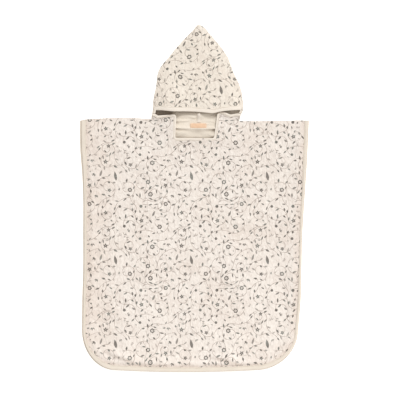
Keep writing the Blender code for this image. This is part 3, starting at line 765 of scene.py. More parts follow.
def printed_muslin(name, cream, pink, pale, shaded_tone):
    """Crinkled muslin with a sprig print, drawn from each face's own motifs."""
    t = Tree(name, 0.88, 0.12)
    cloth = t.uv("Cloth")
    soft = t.noise(cloth, 9.0, 2.0)
    patch = t.noise(cloth, 34.0, 2.0)
    ground = t.mix(t.steps(soft, 0.40, 0.68), cream, pink)
    ground = t.mix(t.steps(patch, 0.38, 0.72, 0.0, 0.4), ground, pale)
    # painted crinkle highlight and shade: fine paler and pinker specks in the ground
    painted_crinkle = t.noise(t.scaled(cloth, (190.0, 120.0, 1.0), 0.5), 1.0, 2.0, 0.6)
    ground = t.mix(t.steps(painted_crinkle, 0.50, 0.70, 0.0, 0.75), ground, pale)
    ground = t.mix(t.steps(painted_crinkle, 0.48, 0.28, 0.0, 0.8), ground, pink)
    # painted shade: where the near attribute says, the ground turns toward a darker, warmer tone,
    # more in some places
    near = t.math("MULTIPLY", t.split(t.attribute("near"))[0],
                  t.steps(t.noise(cloth, 26.0, 2.0), 0.30, 0.62, 0.35, 1.0))
    ground = t.mix(near, ground, shaded_tone)

    fill = None
    for k in range(LEAF_PLACES):
        u, v, shade = t.split(t.attribute(f"leaf{k}"))
        bulge = t.math("MULTIPLY", t.math("SUBTRACT", 1.0, t.math("MULTIPLY", u, u)),
                       t.math("MAXIMUM", t.math("MULTIPLY_ADD", u, -0.3, 1.05), 0.4))
        inside = t.math("SUBTRACT", bulge, t.math("ABSOLUTE", v))
        mark = t.math("MULTIPLY", t.steps(inside, -0.06, 0.16), shade)
        fill = mark if fill is None else t.math("MAXIMUM", fill, mark)
    for k in range(FLOWER_PLACES):
        u, v, kind = t.split(t.attribute(f"flower{k}"))
        r = t.math("SQRT", t.math("ADD", t.math("MULTIPLY", u, u), t.math("MULTIPLY", v, v)))
        angle = t.math("ARCTAN2", v, u)
        star = t.math("COMPARE", kind, 2.0, 0.4)
        ring = t.math("COMPARE", kind, 1.0, 0.4)
        petals = t.math("COSINE", t.math("MULTIPLY", angle,
                                         t.math("MULTIPLY_ADD", ring, 1.0, 5.0)))
        amount = t.math("MULTIPLY_ADD", star, 0.24, t.math("MULTIPLY", ring, 0.09))
        rim = t.math("MULTIPLY_ADD", petals, amount,
                     t.math("MULTIPLY_ADD", star, -0.22, t.math("MULTIPLY_ADD", ring, -0.07, 1.0)))
        body = t.steps(t.math("SUBTRACT", rim, r), -0.04, 0.06)
        eye = t.math("MULTIPLY_ADD", ring, 0.44, t.math("MULTIPLY", star, 0.15))
        hole = t.steps(t.math("SUBTRACT", eye, r), -0.03, 0.05)
        seed = t.math("MULTIPLY", ring, t.steps(r, 0.20, 0.13))
        mark = t.math("MAXIMUM", t.math("MULTIPLY", body, t.math("SUBTRACT", 1.0, hole)), seed)
        fill = t.math("MAXIMUM", fill, mark)
    line = None
    for k in range(STEM_PLACES):
        x, y, radius = t.split(t.attribute(f"stem{k}"))
        r = t.math("SQRT", t.math("ADD", t.math("MULTIPLY", x, x), t.math("MULTIPLY", y, y)))
        off = t.math("ABSOLUTE", t.math("SUBTRACT", r, radius))
        mark = t.steps(off, 0.66, 0.32)
        line = mark if line is None else t.math("MAXIMUM", line, mark)
    worn = t.steps(t.noise(cloth, 420.0, 2.0, 0.6), 0.25, 0.62, 0.72, 1.0)
    faint = t.steps(t.noise(cloth, 62.0, 2.0), 0.36, 0.62, 0.55, 1.0)
    colour = t.mix(t.math("MULTIPLY", line, faint), ground, STEM)
    tone = t.mix(t.steps(t.noise(cloth, 40.0, 0.0), 0.5, 0.6), INK, INK_GREEN)
    tone = t.mix(t.steps(fill, 0.30, 0.85), INK_THIN, tone)
    colour = t.mix(t.math("MULTIPLY", fill, t.math("MULTIPLY", worn, 0.92)), colour, tone)

    threads = t.weave(cloth, 0.00062)
    shade = t.steps(threads, 0.0, 1.0, 0.965, 1.015, smooth=False)
    n = t.nodes.new("ShaderNodeVectorMath")
    n.operation = "SCALE"
    t.put(n.inputs[0], colour)
    t.put(n.inputs["Scale"], shade)
    colour = n.outputs[0]

    crinkle = t.noise(t.scaled(cloth, (150.0, 85.0, 1.0)), 1.0, 2.0, 0.55, 0.6)
    fine = t.noise(t.scaled(cloth, (330.0, 210.0, 1.0), 0.3), 1.0, 2.0, 0.5)
    normal = t.bump(crinkle, 0.0038, 0.9)
    normal = t.bump(fine, 0.0011, 0.65, normal)
    normal = t.bump(threads, 0.00012, 0.6, normal)
    return t.finish(colour, normal, t.steps(patch, 0.3, 0.7, 0.82, 0.94))


def towelling(name, tone, deep_tone, root):
    """Short looped pile, the cloth's inside. Where the deep attribute says, painted shade darkens the
    pile.
    """
    t = Tree(name, 0.95, 0.3, 0.6)
    cloth = t.uv("Cloth")
    soft = t.noise(cloth, 14.0, 2.0)
    pile = t.nodes.new("ShaderNodeTexVoronoi")
    pile.feature = "F1"
    t.put(pile.inputs["Vector"], cloth)
    pile.inputs["Scale"].default_value = 820.0
    loops = t.steps(pile.outputs["Distance"], 0.0, 0.62, 1.0, 0.0)
    clump = t.noise(cloth, 180.0, 2.0, 0.6)
    colour = t.mix(t.steps(soft, 0.35, 0.7), tone, deep_tone)
    colour = t.mix(t.steps(loops, 0.0, 0.6, 0.22, 0.0), colour, root)
    # painted shade: the deep attribute darkens the pile toward a dark brown, in pockets and folds
    deep = t.split(t.attribute("deep"))[0]
    colour = t.mix(t.math("MULTIPLY", deep, 0.66), colour, (0.16, 0.11, 0.075))
    normal = t.bump(clump, 0.0012, 0.6)
    normal = t.bump(loops, 0.0004, 0.6, normal)
    return t.finish(colour, normal)


def tape(name, width, stitch, cream):
    """Plain folded tape; its map runs along in u and across in v, in metres."""
    t = Tree(name, 0.84, 0.15)
    place = t.uv("Along")
    u, v, _ = t.split(place)
    soft = t.noise(place, 30.0, 2.0)
    darker = tuple(0.955 * c for c in cream)
    colour = t.mix(t.steps(soft, 0.35, 0.7), cream, darker)
    # a row of stitches near the inner edge
    off = t.math("ABSOLUTE", t.math("SUBTRACT", v, (width - stitch) * MM))
    row = t.steps(off, 0.00034, 0.00022)
    phase = t.math("FRACT", t.math("DIVIDE", u, 0.0031))
    dash = t.steps(t.math("ABSOLUTE", t.math("SUBTRACT", phase, 0.5)), 0.40, 0.34)
    thread = t.math("MULTIPLY", row, dash)
    # painted shade in the stitched groove: a dark brown, stronger in some places
    groove = t.steps(off, 0.0015, 0.0003)
    deep = t.steps(t.noise(place, 46.0, 2.0), 0.42, 0.66, 0.08, 0.5)
    colour = t.mix(t.math("MULTIPLY", groove, deep), colour, (0.50, 0.41, 0.32))
    colour = t.mix(t.math("MULTIPLY", thread, 0.85), colour, THREAD)
    threads = t.weave(place, 0.00055)
    pucker = t.noise(t.scaled(place, (240.0, 90.0, 1.0)), 1.0, 2.0, 0.5)
    height = t.math("MULTIPLY_ADD", thread, 0.6, t.math("MULTIPLY", groove, -0.5))
    normal = t.bump(pucker, 0.0010, 0.5)
    normal = t.bump(height, 0.0004, 0.9, normal)
    normal = t.bump(threads, 0.00010, 0.6, normal)
    return t.finish(colour, normal)


def woven_label():
    """Plain satin label."""
    t = Tree("woven_label", 0.55, 0.1)
    place = t.uv("Along")
    u, v, _ = t.split(place)
    k = math.pi / 0.00045
    ribs = t.math("SINE", t.math("MULTIPLY", v, k))
    soft = t.noise(place, 120.0, 2.0)
    colour = t.mix(t.steps(soft, 0.3, 0.7), LABEL, (0.83, 0.575, 0.40))
    ends = t.math("ABSOLUTE", t.math("SUBTRACT", u, LABEL_LENGTH / 2 * MM))
    off = t.math("ABSOLUTE", t.math("SUBTRACT", ends, (LABEL_LENGTH / 2 - 2.2) * MM))
    row = t.steps(off, 0.0004, 0.00025)
    phase = t.math("FRACT", t.math("DIVIDE", v, 0.0026))
    dash = t.steps(t.math("ABSOLUTE", t.math("SUBTRACT", phase, 0.5)), 0.38, 0.32)
    colour = t.mix(t.math("MULTIPLY", t.math("MULTIPLY", row, dash), 0.6), colour, THREAD)
    normal = t.bump(t.math("MULTIPLY_ADD", ribs, 0.5, 0.5), 0.00008, 0.7)
    normal = t.bump(t.noise(t.scaled(place, (90.0, 160.0, 1.0)), 1.0), 0.0008, 0.4, normal)
    return t.finish(colour, normal)


PRINTED = printed_muslin("printed_muslin", CREAM, CREAM_PINK, CREAM_PALE, CREAM_SHADED)
PRINTED_HOOD = printed_muslin("printed_muslin_hood", HOOD_CREAM, HOOD_PINK, HOOD_PALE,
                              HOOD_SHADED)
TERRY = towelling("towelling", TOWEL, TOWEL_DEEP, TOWEL_ROOT)
# Painted shade: a darker copy of the towelling, for the back panel's inside where the notch shows it.
SHADED_TERRY = towelling("towelling_back_shaded", tuple(0.96 * c for c in TOWEL_DEEP),
                       tuple(0.89 * c for c in TOWEL_DEEP), TOWEL_ROOT)
EDGE_BINDING = tape("edge_tape_muslin", EDGE_TAPE, 2.1, BINDING)
SHADED_BACK_BINDING = tape("back_edge_tape_shaded", EDGE_TAPE, 2.1, BINDING_SHADED)
BRIM_BINDING = tape("brim_tape_muslin", BRIM_TAPE, 2.1, BINDING_HOOD)
NECK_BINDING = tape("neck_tape_muslin", NECK_TAPE, 1.6, BINDING_HOOD)
SEAM_BINDING = tape("seam_tape_muslin", SEAM_TAPE, 1.4, BINDING_HOOD)
LABEL_MAT = woven_label()

# ------------------------------------------------------- flat-lying panels

BACK_FIELD = CLOTH / 2
BACK_BOUND = TAPE + GAP + CLOTH / 2
FRONT_FIELD = CLOTH + GAP + CLOTH / 2
FRONT_BOUND = BACK_BOUND + CLOTH / 2 + GAP + TAPE + GAP + TAPE + GAP + CLOTH / 2
NECK_BOUND = CLOTH + GAP + TAPE + GAP + CLOTH / 2
NECK_LEFT, NECK_RIGHT = NECK_SEAM[0][0], NECK_SEAM[-1][0]

back_edge = sides_and_hem(BACK_SIDES, 0.0, 3.0)
front_edge = sides_and_hem(FRONT_SIDES, FRONT_HEM_UP, 3.0)
neck_edge = rounded(FRONT_NECK, 2.0)
back_in, front_in = inward(back_edge, 1), inward(front_edge, 1)
neck_in = inward(neck_edge, -1)


def rays(chain, arrows, distance):
    return chain + arrows * distance


def panel(name, loop, rings, spacing, height, outer_up, shift, lining):
    """A fine shell inside a loop. height gives its middle surface, rings are
    lines that the mesh follows, and shift moves the print."""
    inner = []
    lo, hi = loop.min(0), loop.max(0)
    rows = int((hi[1] - lo[1]) / (spacing * 0.866))
    for r in range(rows + 1):
        y = lo[1] + (hi[1] - lo[1]) * r / rows
        xs = np.arange(lo[0] + (spacing / 2 if r % 2 else 0), hi[0], spacing)
        inner.append(np.stack([xs, np.full(len(xs), y)], 1))
    inner = np.concatenate(inner)
    inner = inner[within(inner, loop)]
    clear = away(inner, np.r_[loop, loop[:1]]) > spacing * 0.6
    for ring in rings:
        clear &= away(inner, ring) > spacing * 0.55
    inner = inner[clear]
    points = list(map(Vector, loop))
    edges = [(k, (k + 1) % len(loop)) for k in range(len(loop))]
    for ring in rings:
        first = len(points)
        points += list(map(Vector, ring))
        edges += [(first + k, first + k + 1) for k in range(len(ring) - 1)]
    points += list(map(Vector, inner))
    flat, _, faces, _, _, _ = delaunay_2d_cdt(
        points, edges, [list(range(len(loop)))], 1, 1e-4)
    flat = np.array([tuple(p) for p in flat])
    count = len(flat)
    z = height(flat)
    # the wall is measured square to the surface, so it keeps its thickness
    step = 0.5
    gx = (height(flat + (step, 0)) - height(flat - (step, 0))) / (2 * step)
    gy = (height(flat + (0, step)) - height(flat - (0, step))) / (2 * step)
    up = np.stack([-gx, -gy, np.ones(count)], 1)
    up /= np.linalg.norm(up, axis=1)[:, None]
    middle = np.c_[flat, z]
    top, low = middle + up * CLOTH / 2, middle - up * CLOTH / 2
    verts = np.concatenate([top, low])
    solid = [list(f) for f in faces]
    solid += [[k + count for k in reversed(f)] for f in faces]
    seen = set()
    for f in faces:
        seen.update(zip(f, list(f[1:]) + [f[0]]))
    rim = [[b, a, a + count, b + count] for a, b in seen if (b, a) not in seen]
    solid += rim
    top_is = [0 if outer_up else 1] * len(faces)
    low_is = [1 if outer_up else 0] * len(faces)
    obj = new_object(name, verts, solid, [PRINTED, lining], top_is + low_is + [1] * len(rim))
    mesh = obj.data
    ids = corner_verts(mesh)
    plane = np.concatenate([flat, flat])[ids]
    set_map(mesh, "Cloth", plane * MM)
    lay_print(mesh, plane + np.array(shift))
    # one flat map for both sides, laid side by side
    size = max(hi - lo) * 2.06
    shown = (plane - lo) / size + 0.005
    loops = np.empty(len(mesh.polygons), int)
    mesh.polygons.foreach_get("loop_total", loops)
    side = np.repeat([0] * len(faces) + [1] * len(faces) + [2] * len(rim), loops)
    bake = shown + np.where(side == 1, 1.0, 0.0)[:, None] * np.array([0.5, 0.0])
    at_rim = side == 2
    bake[at_rim, 0] = ((ids[at_rim] % count) / count) * 0.98 + 0.01
    bake[at_rim, 1] = 0.985 + np.where(ids[at_rim] >= count, 0.004, 0.0)
    set_map(mesh, "OFBake", bake)
    mesh.uv_layers["Cloth"].active_render = True
    return obj


def band(d, width, ramp):
    """1 under a tape and 0 well inside it."""
    return 1 - ease((d - (width + 1.2)) / ramp)


def seam_ridge(x):
    """How high the neck seam stands: low in the middle, more at both ends."""
    return np.maximum(curve(NECK_FOLDS, 1, x), 0)


def mouth(x, rise):
    """The swell of the cloth inside the hood's mouth."""
    at, middle, long, wide, high = MOUTH
    return high * np.exp(-((x - at) / long) ** 4 - ((rise - middle) / wide) ** 2)


def back_height(p):
    d = away(p, back_edge[::4])
    z = BACK_FIELD + (BACK_BOUND - BACK_FIELD) * band(d, EDGE_TAPE, 15)
    # the seam with the hood stands up where the neck shows it, and the cloth
    # below it makes a low fold
    seam = neck_seam(p[:, 0]) - p[:, 1]
    x = p[:, 0]
    z = z + seam_ridge(x) * np.exp(-np.abs(seam / curve(NECK_FOLDS, 2, x)) ** 1.5)
    shown = ease((62 - np.abs(x - 5)) / 12)
    top = curve(NECK_FOLDS, 4, x)
    up = ease((seam - FOLD_START) / (top - FOLD_START))
    down = 1 - np.clip((seam - top) / (FOLD_END - top), 0, 1) ** curve(NECK_FOLDS, 5, x)
    z = z + np.maximum(curve(NECK_FOLDS, 3, x), 0) * up * down
    z = z + np.maximum(creased(p, BACK_CREASES), 0) * shown
    return z


back_loop = np.concatenate([
    rays(back_edge, back_in, RAW),
    np.stack([np.linspace(rays(back_edge, back_in, RAW)[-1, 0] - 5, NECK_RIGHT + GAP, 60)] * 2, 1)
    * (1, 0) + np.stack([np.zeros(60), shoulder(np.linspace(
        rays(back_edge, back_in, RAW)[-1, 0] - 5, NECK_RIGHT + GAP, 60))], 1),
    np.stack([np.linspace(NECK_RIGHT, NECK_LEFT, 90),
              neck_seam(np.linspace(NECK_RIGHT, NECK_LEFT, 90)) - GAP / 2], 1),
    np.stack([np.linspace(NECK_LEFT - GAP, rays(back_edge, back_in, RAW)[0, 0] + 5, 60),
              shoulder(np.linspace(NECK_LEFT - GAP, rays(back_edge, back_in, RAW)[0, 0] + 5,
                                   60))], 1),
])
notch_x = np.linspace(-64, 68, 61)
back = panel("back_cloth", back_loop,
             [rays(back_edge, back_in, EDGE_TAPE + 1)[2:-2]]
             + [np.stack([notch_x, neck_seam(notch_x) - d], 1)
                for d in (1.3, 2.6, 4.1, 5.9, 8.0, 10.2, 12.4, 14.6, 16.6, 18.4, 20.0,
                          21.4, 22.8)], 5.2,
             back_height, False, (37.0, 411.0), SHADED_TERRY)


def flap_lift(p):
    """The two shoulder flaps stand up a little beside the notch."""
    return sum(high * np.exp(-((p[:, 0] - x) / wide) ** 2)
               * ease((p[:, 1] - foot) / (head - foot))
               for x, wide, high, foot, head in LIFTS)


def front_height(p):
    d = away(p, front_edge[::4])
    n = away(p, neck_edge[::2])
    bound = band(d, EDGE_TAPE, 34)
    neck = band(n, NECK_TAPE, 14)
    z = (FRONT_FIELD + (FRONT_BOUND - FRONT_FIELD) * bound
         + (NECK_BOUND - FRONT_FIELD) * neck * (1 - bound))
    inside = ease((shoulder(p[:, 0]) - p[:, 1]) / 30)
    lift = creased(p, FRONT_CREASES)
    # creases flatten under the tape, and never sink into the back
    lift = lift * (1 - 0.55 * bound)
    return z + np.maximum(lift, -0.2) * inside + flap_lift(p)


def front_surface(p):
    z = front_height(p)
    d = away(p, front_edge[::4])
    small = (rumple(p, 34.0, 3.1) * 0.65 + rumple(p, 15.0, 7.7) * 0.42
             + rumple(p, 8.5, 2.9) * 0.12)
    # inside the tape the cloth puffs up, most along the hem
    puff = (1.2 + 1.4 * ease((-560 - p[:, 1]) / 40)) * (1 + 0.7 * rumple(p, 26.0, 5.5))
    puff = np.maximum(puff, 0) * np.exp(-((d - EDGE_TAPE - 8.5) / 4.8) ** 2)
    return z + ((small + 0.5) * ease((d - 9) / 16) + puff) * ease(
        (shoulder(p[:, 0]) - p[:, 1]) / 14)


front_raw = rays(front_edge, front_in, RAW)
neck_raw = rays(neck_edge, neck_in, RAW)
neck_ring = rays(neck_edge, neck_in, NECK_TAPE + 1)
right_xs = np.linspace(front_raw[-1, 0] - 4, NECK_RIGHT + GAP, 60)
left_xs = np.linspace(NECK_LEFT - GAP, front_raw[0, 0] + 4, 60)


def between(a, b, count):
    """Points from a to b, without either."""
    return np.linspace(a, b, count + 2)[1:-1]


right_end = np.array([right_xs[-1], shoulder(right_xs[-1])])
left_end = np.array([left_xs[0], shoulder(left_xs[0])])
front_loop = np.concatenate([
    front_raw,
    np.stack([right_xs, shoulder(right_xs)], 1),
    between(right_end, neck_ring[-1], 3), between(neck_ring[-1], neck_raw[-1], 2),
    neck_raw[::-1],
    between(neck_raw[0], neck_ring[0], 2), between(neck_ring[0], left_end, 3),
    np.stack([left_xs, shoulder(left_xs)], 1),
])
front = panel("front_cloth", front_loop,
              [rays(front_edge, front_in, EDGE_TAPE + 1)[2:-2],
               rays(neck_edge, neck_in, NECK_TAPE + 1)[3:-3]], 3.6,
              front_surface, True, (12.0, 66.0), TERRY)


def flat_places(obj):
    places = np.empty(len(obj.data.vertices) * 3)
    obj.data.vertices.foreach_get("co", places)
    return places.reshape(-1, 3)[:, :2] / MM - (0, SHOULDER_Y)


def keep_value(obj, name, values):
    made = obj.data.attributes.new(name, "FLOAT", "POINT")
    made.data.foreach_set("value", np.clip(values, 0, 1).astype(np.float32))


def spot(x, y, at_x, at_y, long, wide):
    return np.exp(-((x - at_x) / long) ** 2 - ((y - at_y) / wide) ** 2)


p = flat_places(front)
# Painted shade on the front's ground: beside the edge tape, towards the left side and in the shadow
# of two hem folds.
keep_value(front, "near", np.maximum(
    (0.9 - 0.3 * ease((p[:, 0] - 150) / 60))
    * ease((EDGE_TAPE + 12 - away(p, front_edge[::4])) / 10),
    0.5 * ease((-170 - p[:, 0]) / 80)
    + 1.0 * spot(p[:, 0], p[:, 1] + 0.33 * p[:, 0], -164, -660, 32, 6)
    + 1.0 * spot(p[:, 0], p[:, 1] + 0.24 * p[:, 0], 84, -588, 28, 5)))
# Painted shade: beside the flaps, under the seam and just above the neck tape the back's pile is
# darkened.
p = flat_places(back)
x, seam = p[:, 0], neck_seam(p[:, 0]) - p[:, 1]
keep_value(back, "deep", 1.2 * spot(x, seam, 49, 2, 5.5, 5.5) + 0.6 * spot(x, seam, -45, 1, 9, 4)
           + 0.8 * spot(x, seam, -50, 14, 6, 4) + 1.1 * spot(x, seam, 48, 21, 7, 3.4)
           + 0.3 * spot(x, seam, -38, 21, 11, 3.4) + 0.34 * spot(x, seam, 10, 3.5, 12, 6.5))

# -------------------------------------------------------------------- tapes


def swept_tape(name, edge, arrows, z, width, mat, seed, ways=None, ups=None):
    """Tape folded over an edge: a soft section with a stitched groove, swept
    along the edge with small puckers. z is the cloth's middle surface there."""
    outer, inner = CLOTH / 2 + GAP + TAPE, CLOTH / 2 + GAP
    run = lengths(edge)
    n = len(edge)
    wave = np.array([noise.noise(Vector((s / 9.0, seed, 0.3))) for s in run])
    slow = np.array([noise.noise(Vector((s / 30.0, seed, 5.3))) for s in run])
    width = np.broadcast_to(np.asarray(width, float), (n,))
    full_width = float(width.max())
    w = width + (0.45 * wave + 0.3 * slow) * width / full_width
    if ways is None:
        ways = np.c_[arrows, np.zeros(n)]
        ups = np.tile((0.0, 0.0, 1.0), (n, 1))
    base = np.c_[edge, z] if edge.shape[1] == 2 else edge
    top = [(0.0, 0.0), (0.05, 0.55), (0.35, 0.9), (1.1, 1.02), (0.30, 1.10), (0.55, 1.13),
           (-2.9, 1.08), (-2.3, 0.84), (-1.9, 0.82), (-1.4, 1.04), (-0.5, 1.03), (0.0, 0.90)]
    section, across = [], []
    for k, (along, lift) in enumerate(top):
        if k < 4:
            pos = np.full(n, along)
            across.append(along)
        elif k < 6:
            pos = w * along
            across.append(full_width * along)
        else:
            pos = w + along * np.minimum(1, w / 8)
            across.append(full_width + along)
        high = outer * lift
        if 4 <= k <= 9:
            high = high + 0.16 * wave * (1 if k in (4, 5, 9) else 0.5)
        else:
            high = np.full(n, high)
        section.append((pos, high))
    under = [(w, np.full(n, inner)), (np.full(n, TAPE), np.full(n, inner)),
             (np.full(n, TAPE), np.full(n, -inner)), (w, np.full(n, -inner))]
    low = [(w, np.full(n, -outer)), (w * 0.5, np.full(n, -outer)),
           (np.full(n, 0.8), np.full(n, -outer)), (np.full(n, 0.1), np.full(n, -0.6 * outer))]
    section += under + low
    across = np.array(across + [full_width, TAPE, TAPE, full_width,
                                full_width, full_width / 2, 0.8, 0.1])
    size = len(section)
    verts = np.concatenate([
        base + ways * pos[:, None] + ups * high[:, None] for pos, high in section])
    faces = []
    for j in range(size):
        for k in range(n - 1):
            a, b = j * n + k, ((j + 1) % size) * n + k
            faces.append((a, b, b + 1, a + 1))
    caps = []
    for k in (0, n - 1):
        ids = [j * n + k for j in range(size)]
        caps += [[ids[j] for j in (0, 1, 2, 3, 13, 14, 18, 19)],
                 [ids[j] for j in (3, 4, 5, 6, 7, 8, 9, 10, 11, 12, 13)],
                 [ids[j] for j in (14, 15, 16, 17, 18)]]
    faces += caps
    obj = new_object(name, verts, faces, [mat])
    mesh = obj.data
    ids = corner_verts(mesh)
    girth = [0.0]
    for a, b in zip(section, section[1:]):
        girth.append(girth[-1] + float(np.hypot((b[0] - a[0]).mean(), (b[1] - a[1]).mean())))
    along = run[ids % n]
    # the last strip of faces closes the section, so its map wraps there
    place = np.stack([along, across[ids // n]], 1)
    set_map(mesh, "Along", place * MM)
    total = girth[-1] + 3.0
    rows = max(1, int(math.ceil(math.sqrt(run[-1] / total))))
    chunk = run[-1] / rows
    loops = np.empty(len(mesh.polygons), int)
    mesh.polygons.foreach_get("loop_total", loops)
    strip = np.r_[np.repeat(np.arange(size), n - 1), np.full(len(caps), size)]
    part = np.r_[np.tile(run[:-1] // chunk, size), np.zeros(len(caps))]
    strip, part = np.repeat(strip, loops), np.repeat(np.minimum(part, rows - 1), loops)
    g = np.array(girth)[ids // n]
    g = np.where((strip == size - 1) & (ids // n == 0), total - 0.5, g)
    tall = total + 1.0
    bake = np.stack([(along - part * chunk) / (chunk * 1.04) + 0.01,
                     (g + part * tall) / (rows * tall + 4.0)], 1)
    cap = strip == size
    bake[cap] = np.stack([across[ids[cap] // n] / full_width * 0.02 + 0.97,
                          np.full(cap.sum(), 0.99)], 1)
    set_map(mesh, "OFBake", np.clip(bake, 0.001, 0.999))
    mesh.uv_layers["Along"].active_render = True
    return obj


back_tape = swept_tape("back_edge_binding", back_edge, back_in,
                       np.full(len(back_edge), BACK_BOUND), EDGE_TAPE, SHADED_BACK_BINDING, 1.7)
front_z = front_height(front_edge)
# the tape rolls under along the sides, so less of it shows than along the hem
# and by the shoulders
below = ease((-98 - front_edge[:, 1]) / 70)
below = np.where(front_edge[:, 0] < 0, below, 0.5 + 0.5 * below)
rolled = ease((front_edge[:, 1] + 622) / 60) * below * (
    np.where(front_edge[:, 0] < 0, 4.4, 4.9)
    + np.where(front_edge[:, 0] > 0, 1.2, 0.0)
    * np.exp(-((front_edge[:, 1] + 325) / 80) ** 2))
front_tape = swept_tape("front_edge_binding", front_edge, front_in, front_z,
                        EDGE_TAPE - rolled, EDGE_BINDING, 6.1)
neck_tape = swept_tape("neck_binding", neck_edge, neck_in, front_height(neck_edge),
                       NECK_TAPE, NECK_BINDING, 9.4)

# --------------------------------------------------------------------- hood

FACE_ROWS = 84
BELOW_ROWS = 36
FRONT_COLUMNS, FOLD_COLUMNS = 96, 9


def fold_centres(rise):
    return (curve(HOOD_SECTIONS, 1, rise) + FOLD / 2,
            curve(HOOD_SECTIONS, 2, rise) - FOLD / 2)


def hood_x(s, rise):
    a, b = fold_centres(rise)
    return (a + b) / 2 + s * (b - a) / 2


def brim_raw(x):
    return curve(BRIM_EDGE, 1, x) + RAW


def front_layer(s, rise):
    """Top of the hood's front layer."""
    x = hood_x(s, rise)
    top = curve(HOOD_SECTIONS, 3, rise)
    flat = 3 + 3 * ease((110 - rise) / 60)
    z = FOLD + (top - FOLD) * (1 - np.abs(s) ** flat)
    z = z + (SWELL * np.exp(-((s - SWELL_AT) / SWELL_WIDE) ** 2) * (1 - s ** 8)
             * ease((110 - rise) / 80))
    p = np.stack([x, rise], 1)
    calm = ease((0.97 - np.abs(s)) / 0.2) * ease((232 - rise) / 24)
    edge = ease((rise - brim_raw(x) - BRIM_TAPE) / 12)
    z = z + creased(p, HOOD_CREASES) * calm * edge
    z = z + (rumple(p, 30.0, 1.3) * 0.6 + rumple(p, 13.0, 4.4) * 0.38
             + rumple(p, 7.5, 6.1) * 0.15) * calm * edge
    return x, z


def back_layer(s, rise):
    """Inner side of the hood's back layer; its outer side lies flat."""
    x = hood_x(s, rise)
    p = np.stack([x, rise], 1)
    z = CLOTH + np.maximum(creased(p, INSIDE_CREASES), 0)
    z = z + (rumple(p, 12.0, 8.8) + 0.9) * 0.28 * ease((0.9 - np.abs(s)) / 0.2)
    z = z + mouth(x, rise) + PUCKER_HIGH * (np.exp(-((x - SEAM_TAPE_X) / PUCKER_WIDE) ** 2)
                                            * np.exp(-((rise - PUCKER_RISE) / PUCKER_LONG) ** 2))
    return x, z + seam_ridge(x) * np.exp(-((rise - neck_seam(x)) / 5.5) ** 2)


def hood_columns():
    """(kind, place) all round: front, right fold, back, left fold."""
    s = np.linspace(-1, 1, FRONT_COLUMNS + 1)
    s = np.sign(s) * (1 - (1 - np.abs(s)) ** 1.3)
    left = int(np.argmin(np.abs(s + CHEEK_LEFT)))
    right = int(np.argmin(np.abs(s - CHEEK_RIGHT)))
    s[left], s[right] = -CHEEK_LEFT, CHEEK_RIGHT
    angles = np.degrees(np.linspace(math.pi / 2, -math.pi / 2, FOLD_COLUMNS + 2)[1:-1])
    columns = [("front", v) for v in s]
    columns += [("right", v) for v in angles]
    columns += [("back", v) for v in s[::-1]]
    columns += [("left", v) for v in angles[::-1]]
    return columns, left, right


columns, cheek_left, cheek_right = hood_columns()
across = len(columns)
heights = HOOD_RISE - 1.2 - (HOOD_RISE - 1.2 - 34.0) * np.linspace(0, 1, FACE_ROWS - 3) ** 0.94


def column_points(kind, s):
    side = {"right": 1, "left": -1}.get(kind, 0)
    place = s if side == 0 else side
    edge = float(brim_raw(hood_x(place, 20.0)))
    if kind == "front":
        end = CHEEK_RISE
    elif kind == "back":
        end = float(neck_seam(hood_x(s, -2.0))) + GAP / 2
    else:
        foot = float(neck_seam(hood_x(side, -2.0))) + GAP / 2
        end = foot + (CHEEK_RISE - foot) * (s + 90) / 180
    rise = np.concatenate([heights, [edge + BRIM_TAPE - RAW + 1.0, edge + 5.0, edge],
                           edge + (end - edge) * np.arange(1, BELOW_ROWS + 1) / BELOW_ROWS])
    if kind == "front":
        x, z = front_layer(np.full(len(rise), s), rise)
        outer, inner = np.stack([x, rise, z], 1), np.stack([x, rise, z - CLOTH], 1)
    elif kind == "back":
        x, z = back_layer(np.full(len(rise), s), rise)
        below = rise < edge
        u = np.clip((edge - rise) / (edge - end), 0, 1)
        x = np.where(below, hood_x(s, edge) * (1 - u) + hood_x(s, -2.0) * u, x)
        outer, inner = np.stack([x, rise, 0 * z], 1), np.stack([x, rise, z], 1)
    else:
        turn = math.radians(s)
        a, b = fold_centres(rise)
        centre = b if side > 0 else a
        pair = []
        for r in (FOLD / 2, FOLD / 2 - CLOTH):
            pair.append(np.stack([centre + side * r * math.cos(turn), rise,
                                  np.full(len(rise), FOLD / 2 + r * math.sin(turn))], 1))
        outer, inner = pair
    return outer, inner


pairs = [column_points(kind, s) for kind, s in columns]
outer = np.stack([p[0] for p in pairs])       # column, row, xyz
inner = np.stack([p[1] for p in pairs])
total_rows = outer.shape[1]
brim_row = FACE_ROWS - 1
last = total_rows - 1
first_inner = int(np.argmax(heights < INNER_POINT - 3))
# the print wraps round the folds: distance from the front's middle
gone = np.concatenate([np.zeros((1, total_rows)), np.cumsum(
    np.hypot(np.diff(outer[:, :, 0], axis=0), np.diff(outer[:, :, 2], axis=0)), axis=0)])
girth_here = gone - gone[FRONT_COLUMNS // 2]
left_side = np.array([kind == "left" or (kind == "back" and s < 0) for kind, s in columns])
full = gone[-1] + np.hypot(outer[0, :, 0] - outer[-1, :, 0], outer[0, :, 2] - outer[-1, :, 2])
girth_here = np.where(left_side[:, None], girth_here - full, girth_here)
verts, index = [], {}


def vert(layer, c, r):
    c %= across
    if layer == 1 and r < first_inner:
        c, r = 0, -1
    key = (layer, c, r)
    if key not in index:
        index[key] = len(verts)
        verts.append((POINT_X, INNER_POINT, FOLD / 2) if r < 0
                     else tuple((outer if layer == 0 else inner)[c, r]))
    return index[key]


faces, kinds, cloth_places, bakes = [], [], [], []


def place_of(c, r, near):
    """Print place of a grid point, on the same side of the back seam as near."""
    g = girth_here[c % across, r]
    if abs(g - near) > 60:
        g += math.copysign(full[r], near - g)
    return (g + POINT_X, outer[c % across, r, 1])


